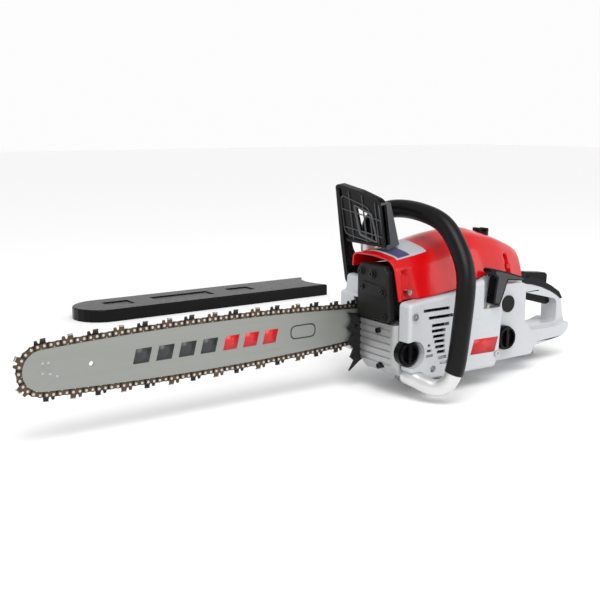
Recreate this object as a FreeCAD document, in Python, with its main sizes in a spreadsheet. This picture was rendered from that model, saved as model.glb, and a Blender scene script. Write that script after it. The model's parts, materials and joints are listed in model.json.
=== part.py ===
"""Petrol chainsaw with its loose bar scabbard, built as separate sub-parts in one frame.

Frame: millimetres, +Z up, floor at Z = 0.  The crankshaft lies along Y at X = 0.
The guide bar points to -X, the rear handle to +X, the starter side is -Y, the bar side is +Y.
"""
import FreeCAD
import Part
import Sketcher
import math
import os

V = FreeCAD.Vector

# Driving dimensions in millimetres (angles in degrees): name, value, what it is.
SIZES = (
    ("crank_z", 93, "height of the crank axis and of the bar centre line"),
    ("shaft_r", 6, "crankshaft journal radius"),
    ("running_gap", 0.05, "radial running clearance"),
    ("throw", 16, "crank throw"),
    ("rod_length", 60, "connecting rod centre distance"),
    ("web_r", 27, "crank web radius"),
    ("bore_r", 22.6, "cylinder bore radius"),
    ("piston_r", 22.52, "piston radius"),
    ("piston_top", 184, "crown height at top dead centre"),
    ("piston_height", 30, "piston height"),
    ("deck_z", 126, "top face of the crankcase"),
    ("head_z", 198, "top of the cylinder fins"),
    ("fin_x", 38, "half width of the fins along X"),
    ("fin_y", 36, "half width of the fins along Y"),
    ("fin_pitch", 7, "spacing of the fins"),
    ("case_front", -96, "front face of the crankcase"),
    ("case_left", -57, "starter side of the crankcase"),
    ("case_right", 27, "bar side of the crankcase"),
    ("bar_y", 32, "middle plane of bar and chain"),
    ("bar_thick", 4, "guide bar thickness"),
    ("groove_wide", 1.7, "width of the bar groove"),
    ("groove_deep", 6.5, "depth of the bar groove"),
    ("nose_x", -566.3, "centre of the bar nose"),
    ("nose_r", 25.7, "radius of the rail round the nose"),
    ("rail_radius", 3899.7, "radius of the slightly bowed rails"),
    ("root_x", -30, "rear end of the bar"),
    ("root_half", 17.4, "half height of the bar at its rear end"),
    ("rivet_lift", 4.3, "height of the chain rivets over the rail"),
    ("link_count", 78, "drive links in the chain"),
    ("gauge", 1.5, "drive link thickness"),
    ("strap_thick", 1.25, "tie strap thickness"),
    ("rivet_r", 1.7, "chain rivet radius"),
    ("drum_r", 36, "clutch drum radius"),
    ("wheel_r", 46, "flywheel radius"),
    ("pulley_r", 32, "recoil pulley radius"),
    ("cover_y", -80, "outer face of the starter cover"),
    ("clutch_y", 78, "outer face of the clutch cover"),
    ("wall", 3, "wall of the moulded covers"),
    ("tube_r", 11.7, "front handle tube radius"),
    ("tube_bore", 9.7, "inner radius of the front handle tube"),
    ("sleeve_r", 13.2, "radius over the rubber sleeve"),
    ("guard_x", -50, "pivot of the hand guard"),
    ("guard_z", 142, "pivot height of the hand guard"),
    ("guard_lean", 9, "forward lean of the hand guard"),
    ("oil_cap_x", -82, "oil cap centre"),
    ("oil_cap_z", 66, "oil cap centre height"),
    ("oil_cap_r", 17.5, "oil cap radius"),
    ("fuel_cap_x", 116, "fuel cap centre"),
    ("fuel_cap_z", 62, "fuel cap centre height"),
    ("fuel_cap_r", 18.5, "fuel cap radius"),
    ("plug_x", 127, "plug over the side buffer"),
    ("plug_z", 112, "height of that plug"),
    ("tank_front", 98, "front wall of the fuel tank"),
    ("tank_rear", 166, "rear wall of the fuel tank"),
    ("tank_left", -55, "starter side of the fuel tank"),
    ("tank_right", 45, "bar side of the fuel tank"),
    ("grip_half", 16, "half width of the rear grip"),
    ("trigger_x", 206, "throttle trigger pivot"),
    ("trigger_z", 121, "throttle trigger pivot height"),
    ("lock_x", 212, "throttle lockout pivot"),
    ("lock_z", 131, "throttle lockout pivot height"),
    ("carb_z", 148, "height of the carburettor bore"),
    ("throttle_x", 62, "throttle valve shaft"),
    ("choke_x", 80, "choke valve shaft"),
    ("cord_lean", 14.5, "lean of the starter handle from upright"),
    ("grip_x", 66, "foot of the starter handle"),
    ("grip_z", 124, "foot height of the starter handle"),
    ("scabbard_y", 658, "near side of the scabbard"),
    ("scabbard_wide", 118, "width of the scabbard"),
    ("scabbard_high", 24, "height of the scabbard"),
    ("scabbard_low", -266, "rounded end of the scabbard"),
    ("scabbard_end", 308, "open end of the scabbard"),
)

# Centre line of the front handle, from the side of the crankcase up and over to the bar side.
HANDLE_POINTS = (
    (-75, -56, 31), (-75.5, -70, 30.5), (-72, -82, 27), (-68, -96, 23.6), (-62, -108, 22.8),
    (-56, -117, 28), (-51, -122, 37.5), (-46, -127.5, 66.7), (-41, -129, 111), (-33, -126, 154),
    (-28, -121, 174.5), (-24, -111, 195), (-20.5, -92, 219.5), (-20, -66.5, 242.7), (-24, -28, 255.7),
    (-30, 14, 259.3), (-38, 36, 256), (-45, 53, 245), (-50, 62, 225), (-50, 64, 198),
    (-50, 58, 174), (-50, 47, 155), (-50, 45.2, 141),
)

# Outer sections of the top cover at stations along X: X, then (Y, Z) from the starter side
# lower edge over the top to the bar side lower edge.
COVER_SECTIONS = (
    (-94, ((-60, 139), (-53, 165), (-48, 185), (-38, 194), (0, 198), (36, 196), (44, 191), (46, 178))),
    (-45, ((-69, 143), (-60, 172), (-52, 190), (-40, 203), (0, 212), (34, 205), (44, 193), (47, 180))),
    (10, ((-73, 151), (-64, 176), (-54, 200), (-42, 216), (0, 226), (38, 216), (47, 198), (50, 178))),
    (60, ((-71, 167), (-62, 184), (-50, 206), (-36, 223), (-8, 232), (34, 222), (46, 202), (51, 172))),
    (115, ((-61, 152), (-54, 176), (-44, 198), (-33, 211), (-4, 217), (32, 210), (43, 196), (48, 162))),
    (154, ((-47, 144), (-42, 168), (-36, 186), (-27, 197), (0, 203), (28, 196), (37, 184), (42, 152))),
    (170, ((-42, 143), (-38, 162), (-32, 178), (-24, 189), (0, 195), (24, 189), (32, 178), (38, 150))),
)

doc = FreeCAD.newDocument("chainsaw")
sheet = doc.addObject("Spreadsheet::Sheet", "Sizes")
finished = []


def fill_sheet():
    """Write every driving size into the sheet under its own name."""
    for row, (name, value, note) in enumerate(SIZES, start=1):
        sheet.set("A%d" % row, name)
        sheet.set("B%d" % row, str(value))
        sheet.set("C%d" % row, note)
        sheet.setAlias("B%d" % row, name)
    row = len(SIZES) + 1
    for number, point in enumerate(HANDLE_POINTS):
        for axis, value in zip("xyz", point):
            sheet.set("A%d" % row, "handle point")
            sheet.set("B%d" % row, str(value))
            sheet.setAlias("B%d" % row, "handle_%s%d_pos" % (axis, number))
            row += 1
    doc.recompute()


def size(expression):
    """Number that a sheet expression gives."""
    return float(sheet.evalExpression(str(expression)))


def linked(expression):
    """The same expression with each sheet name made readable from another object."""
    text = str(expression)
    result = ""
    word = ""
    for letter in text + " ":
        if letter.isalnum() or letter == "_":
            word += letter
            continue
        is_name = word and not word[0].isdigit() and word not in ("sin", "cos", "tan", "sqrt", "deg")
        result += ("Sizes." + word if is_name else word) + letter
        word = ""
    return result.strip()


def bind(item, prop, expression):
    """Tie one property to the sheet."""
    item.setExpression(prop, linked(expression))


def place(item, base):
    """Bind the position of an object."""
    for axis, expression in zip("xyz", base):
        bind(item, "Placement.Base." + axis, expression)


def finish(item, name):
    """Mark an object as a finished sub-part under its own name."""
    item.Label = name
    finished.append((item, name))
    return item


def block(name, low, high):
    """Box between two corners."""
    item = doc.addObject("Part::Box", name)
    for prop, lower, upper in zip(("Length", "Width", "Height"), low, high):
        bind(item, prop, "(%s) - (%s)" % (upper, lower))
    place(item, low)
    return item


AXIS_TURN = {"X": (V(0, 1, 0), 90), "Y": (V(1, 0, 0), -90), "Z": (V(0, 0, 1), 0)}


def rod(name, axis, radius, start, end, across):
    """Cylinder along an axis from start to end; across holds its other two coordinates."""
    item = doc.addObject("Part::Cylinder", name)
    bind(item, "Radius", radius)
    bind(item, "Height", "(%s) - (%s)" % (end, start))
    turn_axis, angle = AXIS_TURN[axis]
    item.Placement.Rotation = FreeCAD.Rotation(turn_axis, angle)
    base = list(across)
    base.insert("XYZ".index(axis), start)
    place(item, base)
    return item


def slanted_rod(name, radius, start, end, centre, lean):
    """Cylinder in the XZ plane leaning from upright towards +X about its centre point."""
    item = doc.addObject("Part::Cylinder", name)
    bind(item, "Radius", radius)
    bind(item, "Height", "(%s) - (%s)" % (end, start))
    item.Placement.Rotation = FreeCAD.Rotation(V(0, 1, 0), size(lean))
    place(item, (
        "%s + sin((%s) * 1 deg) * (%s)" % (centre[0], lean, start),
        centre[1],
        "%s + cos((%s) * 1 deg) * (%s)" % (centre[2], lean, start),
    ))
    return item


def fuse(name, items):
    """Join several solids."""
    item = doc.addObject("Part::MultiFuse", name)
    item.Shapes = items
    item.Refine = True
    return item


def cut(name, base, tools):
    """Take one or more tools away from a base."""
    item = doc.addObject("Part::Cut", name)
    item.Base = base
    item.Tool = tools[0] if len(tools) == 1 else fuse(name + "_tools", tools)
    item.Refine = True
    return item


def gather(name, items):
    """Several loose solids that make one sub-part."""
    item = doc.addObject("Part::Compound", name)
    item.Links = items
    return item


PLANE_NORMAL = {"XZ": -1, "YZ": 1, "XY": 1}


def new_sketch(body, plane, offset):
    """Empty sketch on one of the body's own planes, moved along the plane's normal."""
    sketch = body.newObject("Sketcher::SketchObject", body.Name + "_sketch")
    origin_plane = [f for f in body.Origin.OriginFeatures if f.Role == plane + "_Plane"][0]
    sketch.AttachmentSupport = [(origin_plane, "")]
    sketch.MapMode = "FlatFace"
    for axis, expression in zip("xyz", offset):
        bind(sketch, "AttachmentOffset.Base." + axis, expression)
    return sketch


def draw_polygon(sketch, points):
    """Closed polygon whose corners are tied to the sheet."""
    corners = [V(size(a), size(b), 0) for a, b in points]
    first = sketch.GeometryCount
    count = len(corners)
    for number in range(count):
        sketch.addGeometry(Part.LineSegment(corners[number], corners[(number + 1) % count]))
    for number in range(count):
        following = first + (number + 1) % count
        sketch.addConstraint(Sketcher.Constraint("Coincident", first + number, 2, following, 1))
    for number, pair in enumerate(points):
        for kind, expression in zip(("DistanceX", "DistanceY"), pair):
            index = sketch.addConstraint(
                Sketcher.Constraint(kind, -1, 1, first + number, 1, size(expression)))
            sketch.setExpression("Constraints[%d]" % index, linked(expression))


def draw_circle(sketch, centre, radius):
    """Circle whose centre and radius are tied to the sheet."""
    middle = V(size(centre[0]), size(centre[1]), 0)
    number = sketch.addGeometry(Part.Circle(middle, V(0, 0, 1), size(radius)))
    for kind, expression in zip(("DistanceX", "DistanceY"), centre):
        index = sketch.addConstraint(
            Sketcher.Constraint(kind, -1, 1, number, 3, size(expression)))
        sketch.setExpression("Constraints[%d]" % index, linked(expression))
    index = sketch.addConstraint(Sketcher.Constraint("Radius", number, size(radius)))
    sketch.setExpression("Constraints[%d]" % index, linked(radius))


def draw_all(sketch, outlines, circles):
    """Polygons and circles of one sketch."""
    for points in outlines:
        draw_polygon(sketch, points)
    for centre_a, centre_b, radius in circles:
        draw_circle(sketch, (centre_a, centre_b), radius)


def new_body(name):
    """PartDesign body."""
    return doc.addObject("PartDesign::Body", name)


def pad(body, plane, outlines, low, high, circles=()):
    """Add material between two positions along the plane's axis."""
    offset = high if plane == "XZ" else low
    sketch = new_sketch(body, plane, ("0", "0", "(%s) * %d" % (offset, PLANE_NORMAL[plane])))
    draw_all(sketch, outlines, circles)
    feature = body.newObject("PartDesign::Pad", body.Name + "_pad")
    feature.Profile = sketch
    bind(feature, "Length", "(%s) - (%s)" % (high, low))
    doc.recompute()
    return feature


def pocket(body, plane, outlines, low, high, circles=()):
    """Remove material between two positions along the plane's axis."""
    before = body.Shape.Volume
    offset = low if plane == "XZ" else high
    sketch = new_sketch(body, plane, ("0", "0", "(%s) * %d" % (offset, PLANE_NORMAL[plane])))
    draw_all(sketch, outlines, circles)
    feature = body.newObject("PartDesign::Pocket", body.Name + "_pocket")
    feature.Profile = sketch
    bind(feature, "Length", "(%s) - (%s)" % (high, low))
    doc.recompute()
    if body.Shape.Volume >= before:
        raise RuntimeError("a pocket of %s removes nothing" % body.Name)
    return feature


def turn(body, axis, centre, profile, groove=False):
    """Revolve a profile of (position along the axis, radius) about an axis through centre."""
    plane = {"X": "XZ", "Y": "YZ", "Z": "XZ"}[axis]
    if axis == "Y":
        offset = ("0", centre[2], centre[0])
    elif axis == "X":
        offset = ("0", centre[2], "-(%s)" % centre[1])
    else:
        offset = (centre[0], "0", "-(%s)" % centre[1])
    sketch = new_sketch(body, plane, offset)
    points = [(b, a) for a, b in profile] if axis == "Z" else profile
    draw_polygon(sketch, points)
    kind = "PartDesign::Groove" if groove else "PartDesign::Revolution"
    feature = body.newObject(kind, body.Name + "_turned")
    feature.Profile = sketch
    feature.ReferenceAxis = (sketch, ["V_Axis" if axis == "Z" else "H_Axis"])
    feature.Angle = 360
    doc.recompute()
    return feature


def soften(body, radius, chosen, chamfer=False):
    """Round (or bevel) every edge that the test picks out."""
    shape = body.Shape
    names = ["Edge%d" % (n + 1) for n, edge in enumerate(shape.Edges) if chosen(edge)]
    if not names:
        raise RuntimeError("no edge to soften on " + body.Name)
    kind = "PartDesign::Chamfer" if chamfer else "PartDesign::Fillet"
    tip = body.Tip
    feature = body.newObject(kind, body.Name + "_softened")
    feature.Base = (tip, names)
    bind(feature, "Size" if chamfer else "Radius", radius)
    doc.recompute()
    if "Invalid" in feature.State:
        raise RuntimeError("edges of %s can't be softened" % body.Name)
    return feature


def straight_along(axis, test=None):
    """Edge test: straight edges parallel to an axis, optionally filtered by midpoint."""
    direction = {"X": V(1, 0, 0), "Y": V(0, 1, 0), "Z": V(0, 0, 1)}[axis]

    def chosen(edge):
        if not isinstance(edge.Curve, Part.Line):
            return False
        if abs(edge.Curve.Direction.dot(direction)) < 0.999:
            return False
        return test is None or test(edge.CenterOfMass)

    return chosen


def at_level(axis, expression):
    """Edge test: edges that lie wholly in the plane axis = value."""
    index = "XYZ".index(axis)
    value = size(expression)

    def chosen(edge):
        bounds = edge.BoundBox
        low = (bounds.XMin, bounds.YMin, bounds.ZMin)[index]
        high = (bounds.XMax, bounds.YMax, bounds.ZMax)[index]
        return abs(low - value) < 0.01 and abs(high - value) < 0.01

    return chosen


def box_outline(low_a, high_a, low_b, high_b):
    """Corners of a rectangle in a sketch."""
    return ((low_a, low_b), (high_a, low_b), (high_a, high_b), (low_a, high_b))


# --- bar and chain -------------------------------------------------------------------------


def rail_centre():
    """Centre of the upper rail arc, relative to the bar centre line."""
    big = size("rail_radius")
    inner = big - size("nose_r")
    nose = size("nose_x")
    root = V(size("root_x"), size("root_half"), 0)
    start = V(nose, 0, 0)
    span = root.sub(start)
    gap = span.Length
    along = (inner ** 2 - big ** 2 + gap ** 2) / (2 * gap)
    away = math.sqrt(inner ** 2 - along ** 2)
    unit = span.multiply(1 / gap)
    return V(start.x + unit.x * along + unit.y * away, start.y + unit.y * along - unit.x * away, 0)


def chain_line():
    """Closed line of the chain rivets: total length and a point-at-distance function."""
    centre = rail_centre()
    lift = size("rivet_lift")
    big = size("rail_radius") + lift
    nose = size("nose_r") + lift
    nose_x = size("nose_x")
    sprocket = big - math.hypot(centre.x, centre.y)
    nose_turn = math.atan2(centre.x - nose_x, -centre.y)
    tail_turn = math.atan2(-centre.x, -centre.y)
    half_nose = nose * (math.pi / 2 - nose_turn)
    rail = big * (nose_turn + tail_turn)
    half_tail = sprocket * (math.pi / 2 - tail_turn)
    half = half_nose + rail + half_tail

    def point(distance):
        distance %= 2 * half
        side = 1
        if distance > half:
            distance = 2 * half - distance
            side = -1
        if distance < half_nose:
            angle = math.pi - distance / nose
            x, z = nose_x + nose * math.cos(angle), nose * math.sin(angle)
        elif distance < half_nose + rail:
            angle = math.pi / 2 + nose_turn - (distance - half_nose) / big
            x, z = centre.x + big * math.cos(angle), centre.y + big * math.sin(angle)
        else:
            angle = math.pi / 2 - tail_turn - (distance - half_nose - rail) / sprocket
            x, z = sprocket * math.cos(angle), sprocket * math.sin(angle)
        return V(x, 0, side * z)

    return 2 * half, point


def link_places():
    """Placement of every rivet pair round the chain, in travel order."""
    length, point = chain_line()
    count = int(size("link_count")) * 2
    step = length / count
    base = V(0, size("bar_y"), size("crank_z"))
    places = []
    for number in range(count):
        first = point(step * number)
        second = point(step * (number + 1))
        middle = first.add(second).multiply(0.5).add(base)
        run = second.sub(first)
        turned = FreeCAD.Rotation(V(1, 0, 0), run)
        outward = turned.multVec(V(0, 0, 1))
        away = middle.sub(V(size("nose_x") / 2, size("bar_y"), size("crank_z")))
        if outward.dot(away) < 0 and abs(outward.z) > 0.2:
            turned = turned.multiply(FreeCAD.Rotation(V(1, 0, 0), 180))
        places.append(FreeCAD.Placement(middle, turned))
    return places, step


def flat_link(points, thick, low_y, hole_gap=None, step=8.25):
    """Solid plate in the XZ plane with optional rivet holes, starting at low_y."""
    corners = [V(x, low_y, z) for x, z in points]
    face = Part.Face(Part.makePolygon(corners + [corners[0]]))
    solid = face.extrude(V(0, thick, 0))
    if hole_gap is not None:
        for side in (-0.5, 0.5):
            hole = Part.makeCylinder(size("rivet_r") + hole_gap, thick + 2,
                                     V(side * step, low_y - 1, 0), V(0, 1, 0))
            solid = solid.cut(hole)
    return solid


STRAP_OUTLINE = ((-7.3, -1.5), (-6.2, -4.0), (-2.2, -4.1), (0, -2.6), (2.2, -4.1), (6.2, -4.0),
                 (7.3, -1.5), (7.3, 1.2), (5.6, 3.2), (1.8, 2.4), (-1.8, 2.4), (-5.6, 3.2), (-7.3, 1.2))
TANG_OUTLINE = ((-7.0, -1.6), (-5.4, -3.6), (-2.6, -4.0), (-0.8, -8.8), (1.6, -9.0), (3.0, -4.0),
                (5.6, -3.6), (7.0, -1.6), (7.0, 1.4), (5.4, 3.0), (-5.4, 3.0), (-7.0, 1.4))
CUTTER_OUTLINE = ((-7.3, -1.5), (-6.2, -4.0), (-2.2, -4.1), (0, -2.6), (2.2, -4.1), (6.2, -4.0),
                  (7.6, -1.5), (7.8, 2.0), (7.2, 7.6), (1.4, 8.6), (0.2, 3.6), (-1.8, 3.2),
                  (-3.4, 7.4), (-6.4, 7.0), (-7.3, 1.2))


def rivet_pair(step, reach):
    """Two rivets that stand out on both sides of the links."""
    solids = []
    for side in (-0.5, 0.5):
        solids.append(Part.makeCylinder(size("rivet_r"), 2 * reach, V(side * step, -reach, 0), V(0, 1, 0)))
    return solids


def build_chain():
    """Drive links, tie straps and cutters, link by link round the bar."""
    places, step = link_places()
    half = size("gauge") / 2
    strap = size("strap_thick")
    inner = half + 0.05
    drive = flat_link(TANG_OUTLINE, 2 * half, -half, 0.1, step)
    near = flat_link(STRAP_OUTLINE, strap, -inner - strap)
    far = flat_link(STRAP_OUTLINE, strap, inner)
    tie = near.multiFuse([far] + rivet_pair(step, inner + strap + 0.5)).removeSplitter()
    cutters = []
    for hand in (-1, 1):
        low = -inner - strap if hand < 0 else inner
        blade = flat_link(CUTTER_OUTLINE, strap, low)
        top_low = -inner - strap - 0.6 if hand < 0 else -0.8
        top_plate = Part.makeBox(6.2, inner + strap + 1.4, 1.1, V(1.2, top_low, 7.3))
        other = far if hand < 0 else near
        pieces = [top_plate, other] + rivet_pair(step, inner + strap + 0.5)
        cutters.append(blade.multiFuse(pieces).removeSplitter())
    groups = {"chain_drive_links": [], "chain_tie_straps": [], "chain_cutters": []}
    for number, where in enumerate(places):
        if number % 2 == 0:
            shape, group = drive, "chain_drive_links"
        elif number % 4 == 1:
            shape, group = cutters[(number // 4) % 2], "chain_cutters"
        else:
            shape, group = tie, "chain_tie_straps"
        copy = shape.copy()
        copy.Placement = where
        groups[group].append(copy)
    for name, shapes in groups.items():
        item = doc.addObject("Part::Feature", name)
        item.Shape = Part.makeCompound(shapes)
        finish(item, name)


def build_bar():
    """Guide bar: bowed rails round a small nose, grooved all the way round, nose plates riveted."""
    body = new_body("bar_body")
    sketch = new_sketch(body, "XZ", ("0", "0", "-(bar_y + bar_thick / 2)"))
    middle = size("crank_z")
    centre = rail_centre()
    big = size("rail_radius")
    nose = size("nose_r")
    nose_x = size("nose_x")
    root = V(size("root_x"), size("root_half"), 0)
    lean = math.atan2(centre.x - nose_x, -centre.y)
    root_angle = math.atan2(root.y - centre.y, root.x - centre.x)
    nose_circle = Part.Circle(V(nose_x, middle, 0), V(0, 0, 1), nose)
    upper = Part.Circle(V(centre.x, middle + centre.y, 0), V(0, 0, 1), big)
    lower = Part.Circle(V(centre.x, middle - centre.y, 0), V(0, 0, 1), big)
    quarter = math.pi / 2
    arc_nose = sketch.addGeometry(Part.ArcOfCircle(nose_circle, quarter + lean, 3 * quarter - lean))
    arc_up = sketch.addGeometry(Part.ArcOfCircle(upper, root_angle, quarter + lean))
    arc_low = sketch.addGeometry(Part.ArcOfCircle(lower, -quarter - lean, -root_angle))
    line = sketch.addGeometry(Part.LineSegment(V(root.x, middle - root.y, 0), V(root.x, middle + root.y, 0)))
    sketch.addConstraint(Sketcher.Constraint("Tangent", arc_up, 2, arc_nose, 1))
    sketch.addConstraint(Sketcher.Constraint("Tangent", arc_nose, 2, arc_low, 1))
    sketch.addConstraint(Sketcher.Constraint("Coincident", arc_low, 2, line, 1))
    sketch.addConstraint(Sketcher.Constraint("Coincident", line, 2, arc_up, 1))
    for kind, element, point, expression in (
            ("DistanceX", arc_nose, 3, "nose_x"), ("DistanceY", arc_nose, 3, "crank_z"),
            ("DistanceX", line, 1, "root_x"), ("DistanceY", line, 1, "crank_z - root_half"),
            ("DistanceX", line, 2, "root_x"), ("DistanceY", line, 2, "crank_z + root_half")):
        index = sketch.addConstraint(
            Sketcher.Constraint(kind, -1, 1, element, point, size(expression)))
        sketch.setExpression("Constraints[%d]" % index, linked(expression))
    index = sketch.addConstraint(Sketcher.Constraint("Radius", arc_nose, nose))
    sketch.setExpression("Constraints[%d]" % index, linked("nose_r"))
    plate = body.newObject("PartDesign::Pad", "bar_plate")
    plate.Profile = sketch
    bind(plate, "Length", "bar_thick")
    doc.recompute()
    groove_low = "bar_y - groove_wide / 2"
    groove_high = "bar_y + groove_wide / 2"
    island = (
        ("nose_x + nose_r", "crank_z - nose_r + groove_deep - 2"),
        ("nose_x + 180", "crank_z - 24.2"),
        ("root_x - 110", "crank_z - 18.9"),
        ("root_x + 1", "crank_z - root_half + groove_deep"),
        ("root_x + 1", "crank_z + root_half - groove_deep"),
        ("root_x - 110", "crank_z + 18.9"),
        ("nose_x + 180", "crank_z + 24.2"),
        ("nose_x + nose_r", "crank_z + nose_r - groove_deep + 2"),
    )
    around = box_outline("nose_x - 40", "root_x + 10", "crank_z - 50", "crank_z + 50")
    hub = ("nose_x", "crank_z", "9.4")
    pocket(body, "XZ", (around, island), groove_low, groove_high, (hub,))
    slot = box_outline("-94", "-44", "crank_z - 4.2", "crank_z + 4.2")
    bar_low, bar_high = "bar_y - bar_thick / 2 - 1", "bar_y + bar_thick / 2 + 1"
    pocket(body, "XZ", (slot,), bar_low, bar_high,
           (("-68", "crank_z + 12", "3"), ("-68", "crank_z - 12", "3"),
            ("nose_x + 60", "crank_z", "3.2")))
    pieces = [body]
    for number, (dx, dz) in enumerate(((6, 0), (-6, 0), (0, 6), (0, -6))):
        pieces.append(rod("nose_rivet_%d" % number, "Y", "1.8", "bar_y - bar_thick / 2 - 0.4",
                          "bar_y + bar_thick / 2 + 0.4", ("nose_x + %d" % dx, "crank_z + %d" % dz)))
    finish(fuse("bar_with_rivets", pieces), "guide_bar")


def build_nose_sprocket():
    """Eleven-tooth wheel that turns inside the bar nose."""
    body = new_body("nose_sprocket")
    pad(body, "XZ", (), "bar_y - 0.7", "bar_y + 0.7",
        (("nose_x", "crank_z", "20.4"), ("nose_x", "crank_z", "9.45")))
    notch = (("nose_x + 15.5", "crank_z - 1.2"), ("nose_x + 24", "crank_z - 3.4"),
             ("nose_x + 24", "crank_z + 3.4"), ("nose_x + 15.5", "crank_z + 1.2"))
    tooth_gap = pocket(body, "XZ", (notch,), "bar_y - 2", "bar_y + 2")
    round_pattern(body, tooth_gap, 11, "nose_x", "crank_z")
    finish(body, "nose_sprocket")


def round_pattern(body, feature, count, centre_x, centre_z):
    """Repeat a feature round an axis along Y through the given centre."""
    line = body.newObject("Sketcher::SketchObject", body.Name + "_axis")
    origin_plane = [f for f in body.Origin.OriginFeatures if f.Role == "XZ_Plane"][0]
    line.AttachmentSupport = [(origin_plane, "")]
    line.MapMode = "FlatFace"
    bind(line, "AttachmentOffset.Base.x", centre_x)
    bind(line, "AttachmentOffset.Base.y", centre_z)
    pattern = body.newObject("PartDesign::PolarPattern", body.Name + "_round")
    pattern.Originals = [feature]
    pattern.Axis = (line, ["N_Axis"])
    pattern.Angle = 360
    pattern.Occurrences = count
    body.Tip = pattern
    doc.recompute()
    return pattern


# --- crankcase and engine ------------------------------------------------------------------


def front_grooves(side, low_y, high_y):
    """Shallow level grooves across the cast front."""
    grooves = []
    for number, level in enumerate((45, 55, 65, 75, 85, 95)):
        grooves.append(block("groove_%s_%d" % (side, number),
                             ("case_front - 1", low_y, "%d" % level),
                             ("case_front + 1.6", high_y, "%d + 3" % level)))
    return grooves


def build_crankcase():
    """Two cast halves that meet on the cylinder plane."""
    left = new_body("left_casting")
    front_left = (("case_front", "46"), ("case_front + 12", "30"), ("-50", "26"), ("-50", "108"),
                  ("case_front", "104"))
    pad(left, "XZ", (front_left,), "case_left", "0")
    wall = (("-50.5", "48"), ("58", "48"), ("58", "deck_z"), ("-40", "deck_z"), ("-40", "110"), ("-50.5", "108"))
    pad(left, "XZ", (wall,), "-28", "0")
    soften(left, "9", straight_along("Z", lambda p: p.y < -50 and p.x < -90))
    pocket(left, "XZ", (), "-13.6", "1", (("0", "crank_z", "29"),))
    pocket(left, "XZ", (), "-19.6", "-13.6", (("0", "crank_z", "17"),))
    pocket(left, "XZ", (), "-30", "-19.6", (("0", "crank_z", "7.5"),))
    pocket(left, "XZ", (box_outline("-90", "-56", "38", "98"),), "case_left + 5", "-8")
    pocket(left, "XZ", (), "case_left - 1", "case_left + 6", (("oil_cap_x", "oil_cap_z", "13"),))
    pocket(left, "XY", (), "100", "deck_z + 1", (("0", "0", "24"),))
    recesses = [rod("case_recess_top", "X", "5.5", "case_front - 1", "case_front + 1", ("-18.5", "92")),
                rod("case_recess_low", "X", "5.5", "case_front - 1", "case_front + 7", ("-22", "41"))]
    half = cut("left_half", left, front_grooves("left", "case_left + 12", "1") + recesses)
    finish(half, "crankcase_left")

    right = new_body("right_casting")
    front_right = (("case_front", "46"), ("case_front + 12", "30"), ("-70", "26"), ("-70", "108"),
                   ("case_front", "104"))
    pad(right, "XZ", (front_right,), "0", "case_right - 4")
    wall = (("-70", "26"), ("58", "26"), ("58", "deck_z"), ("-40", "deck_z"), ("-40", "110"), ("-70", "108"))
    pad(right, "XZ", (wall,), "0", "case_right")
    pad(right, "XZ", (box_outline("-69", "-40", "crank_z - 13", "crank_z + 13"),),
        "case_right - 1", "bar_y - bar_thick / 2")
    pad(right, "XZ", (box_outline("-25", "35", "0", "27"),), "-8", "case_right")
    pad(right, "XZ", (box_outline("-62", "-41", "104", "128"),), "24.4", "case_right")
    pad(right, "XZ", (box_outline("-62", "-41", "127.5", "164"),), "24.4", "33.4")
    pocket(right, "XZ", (), "-1", "13.6", (("0", "crank_z", "29"),))
    pocket(right, "XZ", (), "13.6", "19.6", (("0", "crank_z", "17"),))
    pocket(right, "XZ", (), "19.6", "23", (("0", "crank_z", "7.5"),))
    pocket(right, "XZ", (), "23", "case_right + 1", (("0", "crank_z", "16"),))
    pocket(right, "XY", (), "100", "deck_z + 1", (("0", "0", "24"),))
    pocket(right, "XZ", (), "10", "bar_y", (("-52", "crank_z", "4"), ("-80", "crank_z", "4")))
    half = cut("right_half", right, front_grooves("right", "-1", "case_right"))
    finish(half, "crankcase_right")


def build_case_screws():
    """Socket screws in the cast front, and the one that holds the end of the front handle."""
    screws = []
    for number, (y, z) in enumerate(((-18.5, 92), (-22, 41))):
        x_end = "case_front + 1" if z > 60 else "case_front + 7"
        head = rod("case_screw_head_%d" % number, "X", "4", "case_front - 3", x_end, ("%s" % y, "%s" % z))
        socket = rod("case_screw_socket_%d" % number, "X", "2", "case_front - 4", "case_front - 1",
                     ("%s" % y, "%s" % z))
        screws.append(cut("case_screw_%d" % number, head, [socket]))
    screws.append(fuse("handle_screw", [
        rod("handle_screw_head", "Y", "3.6", "57.1", "60.4", ("-50", "144.5")),
        rod("handle_screw_core", "Y", "2.4", "33.6", "57.1", ("-50", "144.5"))]))
    finish(gather("body_screws", screws), "body_screws")


def build_bearings():
    """Two main bearings of the crankshaft."""
    rings = []
    for name, low, high in (("left", "-19.6", "-13.8"), ("right", "13.8", "19.6")):
        outer = rod("bearing_outer_" + name, "Y", "17", low, high, ("0", "crank_z"))
        inner = rod("bearing_bore_" + name, "Y", "shaft_r + running_gap", "%s - 1" % low, "%s + 1" % high,
                    ("0", "crank_z"))
        race = cut("bearing_" + name, outer, [inner])
        rings.append(race)
    finish(gather("main_bearings", rings), "main_bearings")


PLUG_LEAN = "55"
PLUG_START = ("9", "0", "190")


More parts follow.
